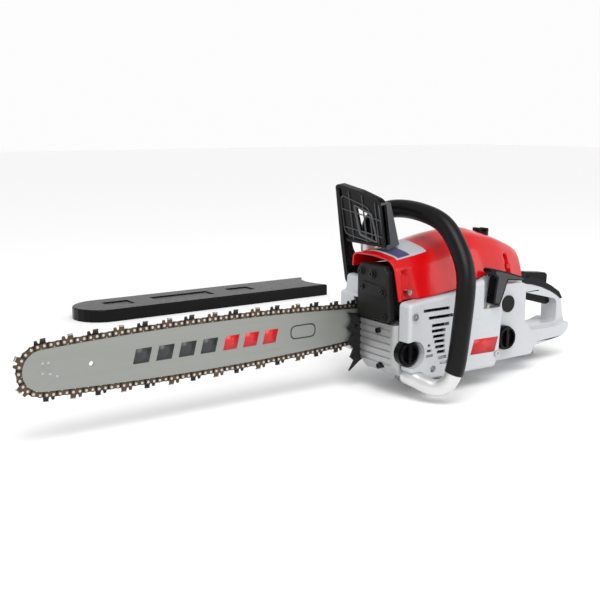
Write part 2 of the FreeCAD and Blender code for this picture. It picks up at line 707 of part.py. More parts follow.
def build_cylinder():
    """Finned cylinder with closed head, exhaust flange, intake flange and plug boss."""
    parts = [rod("barrel", "Z", "27", "deck_z", "191", ("0", "0")),
             block("base_flange", ("-32", "-27", "deck_z"), ("32", "27", "deck_z + 5")),
             block("exhaust_duct", ("-42", "-15", "146"), ("-20", "15", "172")),
             block("intake_duct", ("20", "-15", "carb_z - 15"), ("44", "15", "carb_z + 15"))]
    level = 0
    while size("deck_z + 15 + fin_pitch * %d + 2" % level) <= size("head_z") + 0.01:
        low = "deck_z + 15 + fin_pitch * %d" % level
        fin = block("fin_%d" % level, ("-fin_x", "-fin_y", low), ("fin_x", "fin_y", "%s + 2" % low))
        rounded = doc.addObject("Part::Fillet", "fin_rounded_%d" % level)
        rounded.Base = fin
        doc.recompute()
        upright = [n + 1 for n, e in enumerate(fin.Shape.Edges)
                   if abs(e.tangentAt(e.FirstParameter).z) > 0.99]
        rounded.Edges = [(n, 8.0, 8.0) for n in upright]
        parts.append(rounded)
        level += 1
    parts.append(block("head_rib_x", ("-30", "-2", "188"), ("30", "2", "head_z - 1")))
    parts.append(slanted_rod("plug_boss", "11", "-2", "14", PLUG_START, PLUG_LEAN))
    body = fuse("cylinder_solid", parts)
    tools = [rod("bore", "Z", "bore_r", "deck_z - 1", "piston_top + 0.5", ("0", "0")),
             rod("chamber", "Z", "17", "piston_top", "piston_top + 4", ("0", "0")),
             rod("exhaust_hole", "X", "9", "-43", "-20", ("0", "159")),
             rod("intake_hole", "X", "8", "20", "45", ("0", "carb_z")),
             slanted_rod("plug_hole", "7", "-6", "50", PLUG_START, PLUG_LEAN),
             slanted_rod("plug_access", "11.5", "14", "50", PLUG_START, PLUG_LEAN)]
    finish(cut("cylinder_cut", body, tools), "cylinder")


def build_plug():
    """Spark plug and the boot with its lead to the ignition coil."""
    steps = (("plug_thread", "6.8", "0", "14"), ("plug_hex", "9.5", "14", "21"),
             ("plug_porcelain", "4.8", "21", "34"), ("plug_tip", "3", "34", "37"))
    parts = [slanted_rod(name, radius, low, high, PLUG_START, PLUG_LEAN) for name, radius, low, high in steps]
    finish(fuse("spark_plug_solid", parts), "spark_plug")
    outer = slanted_rod("boot_outer", "7.6", "21.4", "42", PLUG_START, PLUG_LEAN)
    inner = slanted_rod("boot_inner", "5", "20", "38", PLUG_START, PLUG_LEAN)
    lead = swept("ignition_lead", "2.6",
                 (V(41, 0, 212.5), V(50, -14, 206), (V(54, -34, 190)), V(45, -44, 174), V(35, -45, 160.4)))
    finish(cut("boot_cut", fuse("boot_solid", [outer, lead]), [inner]), "plug_boot")


def swept(name, radius, points, start=0.0, end=1.0):
    """Round bar swept along a smooth line through points, or along part of that line."""
    curve = Part.BSplineCurve()
    curve.interpolate(list(points))
    first, last = curve.FirstParameter, curve.LastParameter
    low = first + (last - first) * start
    high = first + (last - first) * end
    line = doc.addObject("Part::Feature", name + "_line")
    line.Shape = Part.Wire([curve.toShape(low, high)])
    ring = doc.addObject("Part::Circle", name + "_ring")
    bind(ring, "Radius", radius)
    direction = curve.tangent(low)[0]
    ring.Placement = FreeCAD.Placement(curve.value(low), FreeCAD.Rotation(V(0, 0, 1), direction))
    sweep = doc.addObject("Part::Sweep", name)
    sweep.Sections = [ring]
    sweep.Spine = (line, ["Edge1"])
    sweep.Solid = True
    sweep.Frenet = False
    doc.recompute()
    return sweep


def build_muffler():
    """Pressed muffler box with its stamped front cover and screws."""
    body = new_body("muffler_body")
    pad(body, "YZ", (box_outline("-42", "24", "112", "184"),), "-92", "-42.3")
    soften(body, "8", straight_along("X"))
    pocket(body, "YZ", (box_outline("-40", "22", "114", "182"),), "-93", "-44.3")
    pocket(body, "YZ", (), "-46", "-40", (("0", "159", "9"),))
    finish(body, "muffler_body")

    cover = new_body("muffler_cover")
    outline = (("-49", "112"), ("-44", "107"), ("18", "107"), ("24", "112"), ("24", "178"), ("18", "185.5"),
               ("-34", "185.5"), ("-43", "176"))
    pad(cover, "YZ", (outline,), "-102", "-92")
    soften(cover, "3", at_level("X", "-102"))
    pad(cover, "YZ", (), "-104", "-101", (("13.7", "174.5", "6.5"), ("-11.8", "172.8", "6.5")))
    oval = (("20", "152"), ("12", "161"), ("-34", "157"), ("-43", "149"), ("-36", "141"), ("8", "143"))
    pad(cover, "YZ", (oval,), "-103.4", "-101")
    finish(cover, "muffler_cover")


def build_muffler_screws():
    """Screws that stand on the muffler cover."""
    screws = []
    spots = ((13.7, 174.5, 4, "-104"), (-11.8, 172.8, 4, "-104"), (10, 152.4, 3.6, "-103.4"),
             (-33, 149.8, 3.6, "-103.4"), (-40, 116, 3.4, "-102"))
    for number, (y, z, radius, face) in enumerate(spots):
        head = rod("muffler_head_%d" % number, "X", str(radius), "%s - 2.5" % face, face, (str(y), str(z)))
        socket = rod("muffler_socket_%d" % number, "X", "%s * 0.5" % radius, "%s - 3" % face, "%s - 1" % face,
                     (str(y), str(z)))
        screws.append(cut("muffler_screw_%d" % number, head, [socket]))
    finish(gather("muffler_screws", screws), "muffler_screws")


def build_crank_train():
    """Crankshaft with two webs, connecting rod and piston at top dead centre."""
    shafts = []
    for name, web_low, web_high, low, high in (("left", "-13", "-6.8", "-62", "-10"),
                                               ("right", "6.8", "13", "10", "55.5")):
        web = rod("web_" + name, "Y", "web_r", web_low, web_high, ("0", "crank_z"))
        journal = rod("journal_" + name, "Y", "shaft_r", low, high, ("0", "crank_z"))
        shafts.append(fuse("crank_" + name, [web, journal]))
    finish(gather("crankshaft", shafts), "crankshaft")

    pin_z = "crank_z + throw"
    wrist_z = "crank_z + throw + rod_length"
    solid = fuse("rod_solid", [
        rod("big_end", "Y", "10", "-4", "4", ("0", pin_z)),
        rod("small_end", "Y", "7.5", "-4", "4", ("0", wrist_z)),
        block("rod_shank", ("-4.5", "-3", pin_z), ("4.5", "3", wrist_z))])
    holes = [rod("big_hole", "Y", "5", "-5", "5", ("0", pin_z)),
             rod("small_hole", "Y", "4", "-5", "5", ("0", wrist_z))]
    finish(cut("rod_cut", solid, holes), "connecting_rod")
    finish(rod("crank_pin", "Y", "5", "-6.4", "6.4", ("0", pin_z)), "crank_pin")
    finish(rod("piston_pin", "Y", "4", "-19.5", "19.5", ("0", wrist_z)), "piston_pin")

    crown = "piston_top"
    skirt = "piston_top - piston_height"
    shell = new_body("piston_shell")
    turn(shell, "Z", ("0", "0", "0"), (
        (skirt, "19"), (skirt, "piston_r"), ("%s - 9.4" % crown, "piston_r"), ("%s - 9.4" % crown, "21.2"),
        ("%s - 7.8" % crown, "21.2"), ("%s - 7.8" % crown, "piston_r"), ("%s - 5.4" % crown, "piston_r"),
        ("%s - 5.4" % crown, "21.2"), ("%s - 3.8" % crown, "21.2"), ("%s - 3.8" % crown, "piston_r"),
        (crown, "piston_r"), (crown, "0"), ("%s - 5" % crown, "0"), ("%s - 5" % crown, "19")))
    bosses = [rod("pin_boss_left", "Y", "7.5", "-20", "-6", ("0", wrist_z)),
              rod("pin_boss_right", "Y", "7.5", "6", "20", ("0", wrist_z))]
    solid = fuse("piston_solid", [shell] + bosses)
    hole = rod("piston_pin_hole", "Y", "4", "-30", "30", ("0", wrist_z))
    finish(cut("piston_cut", solid, [hole]), "piston")

    rings = []
    for number, drop in enumerate(("5.35", "9.35")):
        outer = rod("ring_outer_%d" % number, "Z", "bore_r - 0.03", "piston_top - %s" % drop,
                    "piston_top - %s + 1.5" % drop, ("0", "0"))
        inner = rod("ring_inner_%d" % number, "Z", "21.3", "piston_top - %s - 1" % drop,
                    "piston_top - %s + 3" % drop, ("0", "0"))
        rings.append(cut("ring_%d" % number, outer, [inner]))
    finish(gather("piston_rings", rings), "piston_rings")


def build_flywheel():
    """Flywheel with cooling fins on its outer face."""
    body = new_body("flywheel")
    turn(body, "Y", ("0", "0", "crank_z"), (
        ("-56", "shaft_r"), ("-56", "13"), ("-42", "14"), ("-42", "wheel_r - 6"), ("-48", "wheel_r - 6"),
        ("-48", "wheel_r"), ("-32", "wheel_r"), ("-32", "wheel_r - 8"), ("-37", "wheel_r - 10"),
        ("-37", "16"), ("-31", "14"), ("-31", "shaft_r")))
    fin = pad(body, "XZ", (box_outline("13", "wheel_r - 1", "crank_z - 1.2", "crank_z + 1.2"),), "-55", "-41")
    round_pattern(body, fin, 16, "0", "crank_z")
    finish(body, "flywheel")


def build_coil():
    """Ignition coil above the flywheel, with two pole legs."""
    parts = [block("coil_body", ("6", "-52", "143.5"), ("42", "-38", "158")),
             block("coil_leg_front", ("6", "-47", "139.8"), ("12", "-41", "144")),
             block("coil_leg_rear", ("35", "-47", "127"), ("42", "-41", "144"))]
    finish(fuse("coil_solid", parts), "ignition_coil")


# --- fuel side -----------------------------------------------------------------------------


def build_intake():
    """Rubber intake boot, carburettor and the two butterfly valves."""
    flange = block("boot_flange", ("44", "-15", "carb_z - 15"), ("47", "15", "carb_z + 15"))
    neck = rod("boot_neck", "X", "12", "46", "52", ("0", "carb_z"))
    hole = rod("boot_hole", "X", "8", "43", "53", ("0", "carb_z"))
    finish(cut("boot_ring", fuse("boot_blank", [flange, neck]), [hole]), "intake_boot")

    body = block("carb_block", ("52", "-19", "carb_z - 15"), ("90", "19", "carb_z + 15"))
    bowl = rod("carb_pump", "Z", "13", "carb_z - 20", "carb_z - 15", ("71", "0"))
    solid = fuse("carb_solid", [body, bowl])
    holes = [rod("carb_bore", "X", "12", "51", "91", ("0", "carb_z")),
             rod("throttle_hole", "Y", "2 + running_gap", "-20", "20", ("throttle_x", "carb_z")),
             rod("choke_hole", "Y", "2 + running_gap", "-20", "20", ("choke_x", "carb_z"))]
    finish(cut("carb_cut", solid, holes), "carburettor")

    for name, shaft_x, lever_z in (("throttle_valve", "throttle_x", "-10"), ("choke_valve", "choke_x", "10")):
        shaft = rod(name + "_shaft", "Y", "2", "-24", "21", (shaft_x, "carb_z"))
        disc = rod(name + "_disc", "X", "11.4", "%s - 0.6" % shaft_x, "%s + 0.6" % shaft_x, ("0", "carb_z"))
        low, high = sorted((0, int(lever_z)))
        lever = block(name + "_lever", ("%s - 2.5" % shaft_x, "-23.5", "carb_z + %d" % low),
                      ("%s + 2.5" % shaft_x, "-21", "carb_z + %d" % high))
        finish(fuse(name + "_solid", [shaft, disc, lever]), name)


def build_filter():
    """Air filter on its plate, with pleats round the sides."""
    plate = block("filter_plate", ("91", "-32", "144"), ("94", "32", "196"))
    box = block("filter_box", ("94", "-30", "146"), ("146", "30", "186"))
    pleats = []
    for number in range(9):
        low = "98 + 5 * %d" % number
        for side, y_low, y_high in (("left", "-31", "-28"), ("right", "28", "31")):
            pleats.append(block("pleat_%s_%d" % (side, number), (low, y_low, "150"),
                                ("%s + 2" % low, y_high, "182")))
    solid = fuse("filter_solid", [plate, box])
    tools = pleats + [rod("filter_mouth", "X", "12", "90", "120", ("0", "carb_z + 14"))]
    finish(cut("filter_cut", solid, tools), "air_filter")


def build_choke_knob():
    """Choke pull knob behind the top cover."""
    stem = rod("choke_stem", "X", "2.2", "150", "176", ("-30", "147"))
    head = rod("choke_head", "X", "7", "175", "184", ("-30", "147"))
    finish(fuse("choke_knob_solid", [stem, head]), "choke_knob")


def cap(name, centre_x, centre_z, radius, base_y, depth):
    """Screw cap with a cross grip, facing -Y."""
    face_y = "%s - %s" % (base_y, depth)
    disc = rod(name + "_disc", "Y", radius, "%s + 5" % face_y, base_y, (centre_x, centre_z))
    rim = rod(name + "_rim", "Y", "%s - 2" % radius, face_y, "%s + 6" % face_y, (centre_x, centre_z))
    well = rod(name + "_well", "Y", "%s - 4.5" % radius, "%s - 1" % face_y, "%s + 5" % face_y,
               (centre_x, centre_z))
    ring = cut(name + "_ring", fuse(name + "_blank", [disc, rim]), [well])
    grip = block(name + "_grip", ("%s - 2.6" % centre_x, face_y, "%s - (%s) + 4" % (centre_z, radius)),
                 ("%s + 2.6" % centre_x, "%s + 6" % face_y, "%s + (%s) - 4" % (centre_z, radius)))
    stem = rod(name + "_stem", "Y", "7.5", "%s - 1" % base_y, "%s + 9" % base_y, (centre_x, centre_z))
    finish(fuse(name + "_solid", [ring, grip, stem]), name)


def build_caps():
    """Oil cap on the crankcase and fuel cap on the tank."""
    cap("oil_cap", "oil_cap_x", "oil_cap_z", "oil_cap_r", "case_left", "15")
    cap("fuel_cap", "fuel_cap_x", "fuel_cap_z", "fuel_cap_r", "tank_left", "13")


def handle_points():
    """Centre line points of the front handle, read back from the sheet."""
    points = []
    for number in range(len(HANDLE_POINTS)):
        points.append(V(*[size("handle_%s%d_pos" % (axis, number)) for axis in "xyz"]))
    return points


# --- starter -------------------------------------------------------------------------------


def build_starter_cover():
    """Moulded starter cover with cooling slots, oil cap notch and a well for the pull handle."""
    body = new_body("starter_cover")
    outer = (("-91", "137.5"), ("-91", "84"), ("-86", "40"), ("-50", "27"), ("78", "26"), ("86", "40"),
             ("91", "112"), ("86", "149"), ("62", "163"), ("43", "158"), ("-1", "147"))
    pad(body, "XZ", (outer,), "cover_y", "-58")
    soften(body, "6", straight_along("Y"))
    soften(body, "5", at_level("Y", "cover_y"))
    inner = (("-87", "134"), ("-87", "90"), ("-60", "88"), ("-60", "42"), ("-48", "31"), ("76", "30"),
             ("82", "42"), ("87", "108"), ("45", "108"), ("45", "156"), ("-1", "143"))
    pocket(body, "XZ", (inner,), "cover_y + wall", "-57")
    well = (("50", "116"), ("84", "116"), ("84", "138"), ("100", "138"), ("100", "175"), ("50", "175"))
    pocket(body, "XZ", (well,), "cover_y - 1", "-68")
    pad(body, "XZ", (), "cover_y + wall - 1", "-66", (("0", "crank_z", "5"),))
    pocket(body, "XZ", (), "cover_y - 1", "-57", (("oil_cap_x", "oil_cap_z", "oil_cap_r + 2"),))
    rows = ((126, -66, -17), (115, -56, -9), (103.5, -50, -17), (95.5, -50, -24), (87.5, -47.5, -25),
            (80, -45, -25), (72, -43, -25), (64.5, -39.5, -24), (56, -37, -21), (48.5, -34, -19))
    slots = tuple(box_outline(str(low), str(high), "%s - 2.3" % level, "%s + 2.3" % level)
                  for level, low, high in rows)
    pocket(body, "XZ", slots, "cover_y - 1", "cover_y + wall + 1")
    short = ((76, -57, -52), (68.3, -58.5, -50), (61, -60, -47))
    short_slots = tuple(box_outline(str(low), str(high), "%s - 1.8" % level, "%s + 1.8" % level)
                        for level, low, high in short)
    pocket(body, "XZ", short_slots, "cover_y - 1", "cover_y + wall + 1", (("-46", "41", "5"),))
    rope = rod("rope_hole", "Z", "4.3", "102", "119", ("62.9", "-74.4"))
    handle_way = swept("handle_way", "tube_r + 0.6", handle_points())
    finish(cut("starter_cover_cut", body, [rope, handle_way]), "starter_cover")


def build_starter_screws():
    """Two screws that hold the starter cover."""
    screws = []
    for number, (x, z) in enumerate(((-82, 120), (80, 46))):
        head = rod("starter_head_%d" % number, "Y", "5", "cover_y - 2.5", "cover_y", (str(x), str(z)))
        socket = rod("starter_socket_%d" % number, "Y", "2.2", "cover_y - 3", "cover_y - 0.8",
                     (str(x), str(z)))
        screws.append(cut("starter_screw_%d" % number, head, [socket]))
    finish(gather("starter_screws", screws), "starter_screws")


def build_pulley():
    """Recoil pulley with rope groove, and the flat coil spring behind it."""
    body = new_body("recoil_pulley")
    turn(body, "Y", ("0", "0", "crank_z"), (
        ("-73.4", "5 + running_gap"), ("-73.4", "pulley_r"), ("-72.2", "pulley_r"), ("-71", "pulley_r - 5"),
        ("-69", "pulley_r - 5"), ("-67.8", "pulley_r"), ("-66.6", "pulley_r"), ("-66.6", "5 + running_gap")))
    finish(body, "recoil_pulley")

    turns = 7
    points = []
    for number in range(turns * 24 + 1):
        angle = number * math.pi / 12
        radius = 8 + 18.0 * number / (turns * 24)
        points.append(V(radius * math.cos(angle), 0, radius * math.sin(angle)))
    inner = Part.BSplineCurve()
    inner.interpolate(points)
    outer = Part.BSplineCurve()
    outer.interpolate([p.multiply(1 + 0.6 / p.Length) for p in points])
    edges = [inner.toShape(), Part.makeLine(inner.EndPoint, outer.EndPoint), outer.toShape(),
             Part.makeLine(outer.StartPoint, inner.StartPoint)]
    face = Part.Face(Part.Wire(Part.__sortEdges__(edges)))
    spring = doc.addObject("Part::Feature", "recoil_spring")
    spring.Shape = face.extrude(V(0, 2.4, 0))
    place(spring, ("0", "cover_y + wall + 0.4", "crank_z"))
    finish(spring, "recoil_spring")


def build_starter_grip():
    """T-shaped pull handle and the rope that runs down into the housing."""
    body = new_body("starter_grip")
    outline = (("-5", "-2"), ("7", "-3"), ("9", "20"), ("14", "26"), ("52", "37"), ("55", "41"),
               ("52", "46"), ("10", "49"), ("-24", "49"), ("-27", "44"), ("-20", "38"), ("-6", "33"))
    pad(body, "XZ", (outline,), "-7", "8")
    soften(body, "2.5", straight_along("Y"))
    soften(body, "2.5", at_level("Y", "-7"))
    body.Placement.Rotation = FreeCAD.Rotation(V(0, 1, 0), size("cord_lean"))
    place(body, ("grip_x", "-81", "grip_z"))
    finish(body, "starter_grip")
    rope = slanted_rod("starter_rope", "1.8", "-92", "-3.4", ("grip_x", "-75", "grip_z"), "cord_lean")
    finish(rope, "starter_rope")


# --- bar side ------------------------------------------------------------------------------


def build_clutch():
    """Clutch hub with shoes and spring, drum with its grooved sprocket, and oil pump."""
    hub = rod("hub_core", "Y", "12", "40.5", "54", ("0", "crank_z"))
    shoes = cut("shoe_ring", rod("shoe_outer", "Y", "31", "41", "53", ("0", "crank_z")),
                [rod("shoe_inner", "Y", "20", "40", "54", ("0", "crank_z")),
                 block("shoe_gap_level", ("-40", "40", "crank_z - 2"), ("40", "54", "crank_z + 2")),
                 block("shoe_gap_upright", ("-2", "40", "crank_z - 40"), ("2", "54", "crank_z + 40"))])
    arms = [block("hub_arm_level", ("-21", "42", "crank_z - 6"), ("21", "52", "crank_z + 6")),
            block("hub_arm_upright", ("-6", "42", "crank_z - 21"), ("6", "52", "crank_z + 21"))]
    solid = fuse("hub_solid", [hub, shoes] + arms)
    shaft = rod("hub_bore", "Y", "shaft_r", "39", "56", ("0", "crank_z"))
    finish(cut("clutch_hub_cut", solid, [shaft]), "clutch_hub")

    drum = new_body("clutch_drum")
    turn(drum, "Y", ("0", "0", "crank_z"), (
        ("28.2", "shaft_r + running_gap"), ("28.2", "14.2"), ("30.7", "14.2"), ("30.7", "9.4"),
        ("33.3", "9.4"), ("33.3", "14.2"), ("36", "14.2"), ("36.6", "drum_r - 2"), ("38.6", "drum_r"),
        ("54.5", "drum_r"), ("54.5", "drum_r - 2"), ("40", "drum_r - 2"), ("38.6", "20"), ("39.6", "9"),
        ("39.6", "shaft_r + running_gap")))
    notch = pocket(drum, "XZ", ((("10.5", "crank_z - 1.4"), ("16", "crank_z - 3"), ("16", "crank_z + 3"),
                                 ("10.5", "crank_z + 1.4")),), "27", "34.6")
    round_pattern(drum, notch, 7, "0", "crank_z")
    finish(drum, "clutch_drum")

    ring = rod("band_outer", "Y", "drum_r + 1.9", "42", "51", ("0", "crank_z"))
    hole = rod("band_inner", "Y", "drum_r + 0.9", "41", "52", ("0", "crank_z"))
    gap = block("band_gap", ("-60", "41", "crank_z + 2"), ("-20", "52", "crank_z + 14"))
    tail = block("band_tail", ("-46", "43", "crank_z + 15"), ("-33", "50", "crank_z + 17"))
    band = cut("band_ring", ring, [hole, gap])
    finish(fuse("brake_band_solid", [band, tail]), "brake_band")

    pump = rod("pump_disc", "Y", "15.5", "23", "26.8", ("0", "crank_z"))
    eye = rod("pump_eye", "Y", "7.5", "22", "28", ("0", "crank_z"))
    finish(cut("pump_cut", pump, [eye]), "oil_pump")


def build_clutch_cover():
    """Moulded cover over clutch and sprocket, open to the front for bar and chain."""
    body = new_body("clutch_cover")
    outer = (("-92", "52"), ("-92", "136"), ("-82", "138"), ("-80", "160"), ("-66", "161"), ("-63", "137"),
             ("26", "138"), ("52", "124"), ("62", "93"), ("50", "56"), ("22", "42"), ("-70", "40"))
    pad(body, "XZ", (outer,), "case_right + 0.4", "clutch_y")
    soften(body, "5", straight_along("Y"))
    soften(body, "4", at_level("Y", "clutch_y"))
    inner = (("-110", "55"), ("-110", "130"), ("-70", "134"), ("24", "135"), ("49", "121"), ("58", "93"),
             ("47", "59"), ("20", "45"), ("-68", "44"))
    pocket(body, "XZ", (inner,), "case_right - 1", "44")
    deep = (("-88", "56"), ("-88", "131"), ("-70", "134"), ("24", "135"), ("49", "121"), ("58", "93"),
            ("47", "59"), ("20", "45"), ("-68", "44"))
    pocket(body, "XZ", (deep,), "43", "clutch_y - 4")
    pocket(body, "XZ", (box_outline("-66", "-34", "106", "142"),), "case_right - 1", "34")
    pad(body, "XZ", (box_outline("-91", "-40", "crank_z - 12.5", "crank_z + 12.5"),),
        "bar_y + bar_thick / 2 + 0.1", "clutch_y - 1")
    pocket(body, "XZ", (box_outline("-89", "-42", "crank_z - 10", "crank_z + 10"),), "62", "clutch_y + 1")
    slots = tuple(box_outline("-18", "34", str(z), str(z + 4)) for z in (70, 80, 90, 100, 110))
    pocket(body, "XZ", slots, "clutch_y - 6", "clutch_y + 1")
    pocket(body, "XZ", (), "27", "clutch_y + 1", (("-52", "crank_z", "4.3"), ("-80", "crank_z", "4.3")))
    finish(body, "clutch_cover")


def build_bar_fixings():
    """Bar studs, nuts and the chain catcher."""
    studs = []
    nuts = []
    for number, x in enumerate(("-52", "-80")):
        studs.append(rod("stud_%d" % number, "Y", "3.9", "12", "71", (x, "crank_z")))
        nut = doc.addObject("Part::Prism", "nut_%d" % number)
        nut.Polygon = 6
        nut.Circumradius = 8.5
        nut.Height = 7
        nut.Placement.Rotation = FreeCAD.Rotation(V(1, 0, 0), -90)
        place(nut, (x, "62", "crank_z"))
        hole = rod("nut_hole_%d" % number, "Y", "3.9", "61", "70", (x, "crank_z"))
        nuts.append(cut("bar_nut_%d" % number, nut, [hole]))
    finish(gather("bar_studs", studs), "bar_studs")
    finish(gather("bar_nuts", nuts), "bar_nuts")
    finish(block("catcher", ("-66", "case_right", "47"), ("-50", "36", "55")), "chain_catcher")


def build_spike():
    """Toothed bumper plate on the front of the crankcase."""
    body = new_body("bumper_spike")
    outline = (("-86", "104"), ("-98", "110"), ("-118", "113"), ("-108", "100"), ("-119", "90"),
               ("-108", "80"), ("-118", "68"), ("-107", "58"), ("-113", "46"), ("-106", "40"),
               ("-115", "26"), ("-98", "38"), ("-86", "44"))
    pad(body, "XZ", (outline,), "case_right - 4", "case_right - 0.5",
        (("-104", "93", "3.2"), ("-91", "98", "1.8"), ("-91", "52", "1.8")))
    finish(body, "bumper_spike")


def build_guard():
    """Hand guard that works the chain brake, its pivot pin and the windowed panel."""
    body = new_body("guard_panel")
    panel = (("-14", "213"), ("-14", "276"), ("-8", "281"), ("30", "291"), ("80", "299"), ("88", "296"),
             ("88", "219"), ("74", "216"))
    window = (("5", "219"), ("12", "257"), ("47", "268"), ("41", "228"))
    pad(body, "YZ", (panel, window), "-71", "-64")
    soften(body, "5", straight_along("X", lambda p: p.z > 240 or p.y > 60))
    arm = (("-70.9", "277"), ("-53", "275"), ("-45", "217"), ("-70.9", "213"))
    pad(body, "XZ", (arm,), "-13.9", "-7")
    leg = (("-71", "293"), ("-62", "292"), ("-58", "200"), ("-40", "152"), ("-41", "134"), ("-58", "133"),
           ("-74", "150"), ("-74", "206"))
    pad(body, "XZ", (leg,), "clutch_y + 1.5", "clutch_y + 9.9")
    soften(body, "3", straight_along("Y", lambda p: p.z < 240 and p.y > 78))
    body.Placement = FreeCAD.Placement(V(0, 0, 0), FreeCAD.Rotation(V(0, 1, 0), -size("guard_lean")),
                                       V(size("guard_x"), 0, size("guard_z")))
    eye = rod("guard_eye", "Y", "4 + running_gap", "70", "100", ("guard_x", "guard_z"))
    finish(cut("guard_cut", body, [eye]), "hand_guard")
    shank = rod("guard_shank", "Y", "4", "70.5", "clutch_y + 11", ("guard_x", "guard_z"))
    head = rod("guard_head", "Y", "7", "clutch_y + 10.4", "clutch_y + 13", ("guard_x", "guard_z"))
    finish(fuse("guard_pin_solid", [shank, head]), "guard_pin")


# --- handles and covers --------------------------------------------------------------------


def build_front_handle():
    """Bent tube and its rubber sleeve."""
    points = handle_points()
    outer = swept("handle_outer", "tube_r", points)
    inner = swept("handle_inner", "tube_bore", points)
    screw_way = rod("handle_screw_way", "Y", "2.4", "30", "62", ("-50", "144.5"))
    flush = block("handle_flush", ("-95", "case_left", "10"), ("-55", "-40", "50"))
    tube = cut("handle_tube", outer, [inner, screw_way, flush])
    finish(tube, "front_handle")
    sleeve = swept("sleeve_outer", "sleeve_r", points, 0.16, 0.86)
    core = swept("sleeve_core", "tube_r", points)
    finish(cut("sleeve_cut", sleeve, [core]), "handle_sleeve")


def build_rear_handle():
    """Rear handle loop moulded in one piece with the fuel tank."""
    body = new_body("handle_moulding")
    outline = (("tank_rear - 6", "140"), ("200", "138"), ("222", "137"), ("246", "129"), ("270", "118"),
               ("288", "107"), ("295", "97"), ("300", "68"), ("304", "60"), ("304", "46"), ("292", "36"),
               ("235", "29"), ("150", "26"))
    loop = (("202", "117"), ("284", "97"), ("284", "58"), ("186", "62"), ("195", "88"), ("200", "108"))
    pad(body, "XZ", (outline, loop), "-grip_half", "grip_half")
    tank = (("tank_front", "30"), ("104", "26"), ("187", "26"), ("190", "56"), ("172", "74"),
            ("tank_rear", "80"), ("tank_rear", "138"), ("tank_rear - 8", "142"), ("112", "142"),
            ("104", "132"), ("tank_front", "120"))
    pad(body, "XZ", (tank,), "tank_left", "tank_right")
    soften(body, "5", at_level("Y", "tank_left"))
    base = (("160", "26"), ("235", "29"), ("292", "36"), ("303", "44"), ("306", "52"), ("304", "60"),
            ("276", "53"), ("220", "54"), ("186", "62"))
    pad(body, "XZ", (base,), "-grip_half - 9", "grip_half + 22")
    heel = box_outline("222", "272", "0", "36")
    pad(body, "XZ", (heel,), "grip_half + 2", "grip_half + 20")
    pocket(body, "XZ", (box_outline("tank_front + 5", "tank_rear - 6", "32", "96"),),
           "tank_left + 5", "tank_right - 5")
    pocket(body, "XZ", (), "tank_left - 1", "tank_left + 6", (("fuel_cap_x", "fuel_cap_z", "11.6"),))
    pocket(body, "XZ", (), "tank_left - 1", "tank_left + 12", (("plug_x", "plug_z", "13"),))
    channel = (("202", "140"), ("202", "106"), ("214", "98"), ("283.5", "84"), ("288", "97"),
               ("286", "104.5"), ("274", "111.5"), ("240", "122"))
    pocket(body, "XZ", (channel,), "-6", "6")
    lock_well = (("205", "146"), ("205", "124"), ("270", "107"), ("270", "126"))
    pocket(body, "XZ", (lock_well,), "-9", "9")
    holes = [rod("trigger_hole", "Y", "2.5", "-12", "12", ("trigger_x", "trigger_z")),
             rod("lock_hole", "Y", "2.5", "-12", "12", ("lock_x", "lock_z"))]
    finish(cut("rear_handle_cut", body, holes), "rear_handle")


def build_triggers():
    """Throttle trigger and lockout paddle with their pivots."""
    lever = new_body("trigger_lever")
    outline = (("203", "124"), ("209", "124"), ("240", "113"), ("272", "101.5"), ("278", "97"), ("279", "91"),
               ("270", "88"), ("214", "103"), ("204", "107"))
    pad(lever, "XZ", (outline,), "-5.4", "5.4")
    soften(lever, "2.5", straight_along("Y"))
    eye = rod("trigger_eye", "Y", "2.5 + running_gap", "-8", "8", ("trigger_x", "trigger_z"))
    finish(cut("trigger_cut", lever, [eye]), "throttle_trigger")

    paddle = new_body("lock_paddle")
    outline = (("208", "127"), ("216", "127"), ("236", "126"), ("262", "118"), ("266", "122"), ("267", "138"),
               ("262", "142"), ("214", "147"), ("208", "138"))
    pad(paddle, "XZ", (outline,), "-8", "8")
    soften(paddle, "2.5", straight_along("Y"))
    eye = rod("lock_eye", "Y", "2.5 + running_gap", "-10", "10", ("lock_x", "lock_z"))
    finish(cut("lock_cut", paddle, [eye]), "throttle_lockout")

    pins = [rod("trigger_pin", "Y", "2.5", "-12", "12", ("trigger_x", "trigger_z")),
            rod("lock_pin", "Y", "2.5", "-12", "12", ("lock_x", "lock_z"))]
    finish(gather("trigger_pins", pins), "trigger_pins")


def build_mounts():
    """Anti-vibration buffers between engine and tank, and the plug over the side one."""
    parts = [rod("buffer_low", "X", "9", "58", "tank_front", ("-16", "62")),
             rod("buffer_high", "X", "9", "58", "tank_front", ("16", "62")),
             rod("buffer_plug", "Y", "13", "tank_left - 1.5", "tank_left + 11.5", ("plug_x", "plug_z"))]
    finish(gather("av_mounts", parts), "av_mounts")


def cover_loft(name, shrink, hollow):
    """Loft through the cover sections; the hollow one runs on past the front, below and inside the rear."""
    wires = []
    for number, (x, points) in enumerate(COVER_SECTIONS):
        middle_y = sum(p[0] for p in points) / len(points)
        corners = []
        for y, z in points:
            inward = shrink if y > middle_y else -shrink
            drop = shrink if z > 150 or number == 0 else 0
            corners.append(V(x, y - inward, z - drop))
        corners[0].z = points[0][1]
        corners[-1].z = points[-1][1]
        if hollow:
            corners[0].z -= 40
            corners[-1].z -= 40
        if hollow and number == 0:
            corners = [V(c.x - 6, c.y, c.z) for c in corners]
        if hollow and number == len(COVER_SECTIONS) - 1:
            corners = [V(c.x - 3, c.y, c.z) for c in corners]
        ring = doc.addObject("Part::Feature", "%s_section_%d" % (name, number))
        ring.Shape = Part.makePolygon(corners + [corners[0]])
        wires.append(ring)
    loft = doc.addObject("Part::Loft", name)
    loft.Sections = wires
    loft.Solid = True
    loft.Ruled = True
    return loft


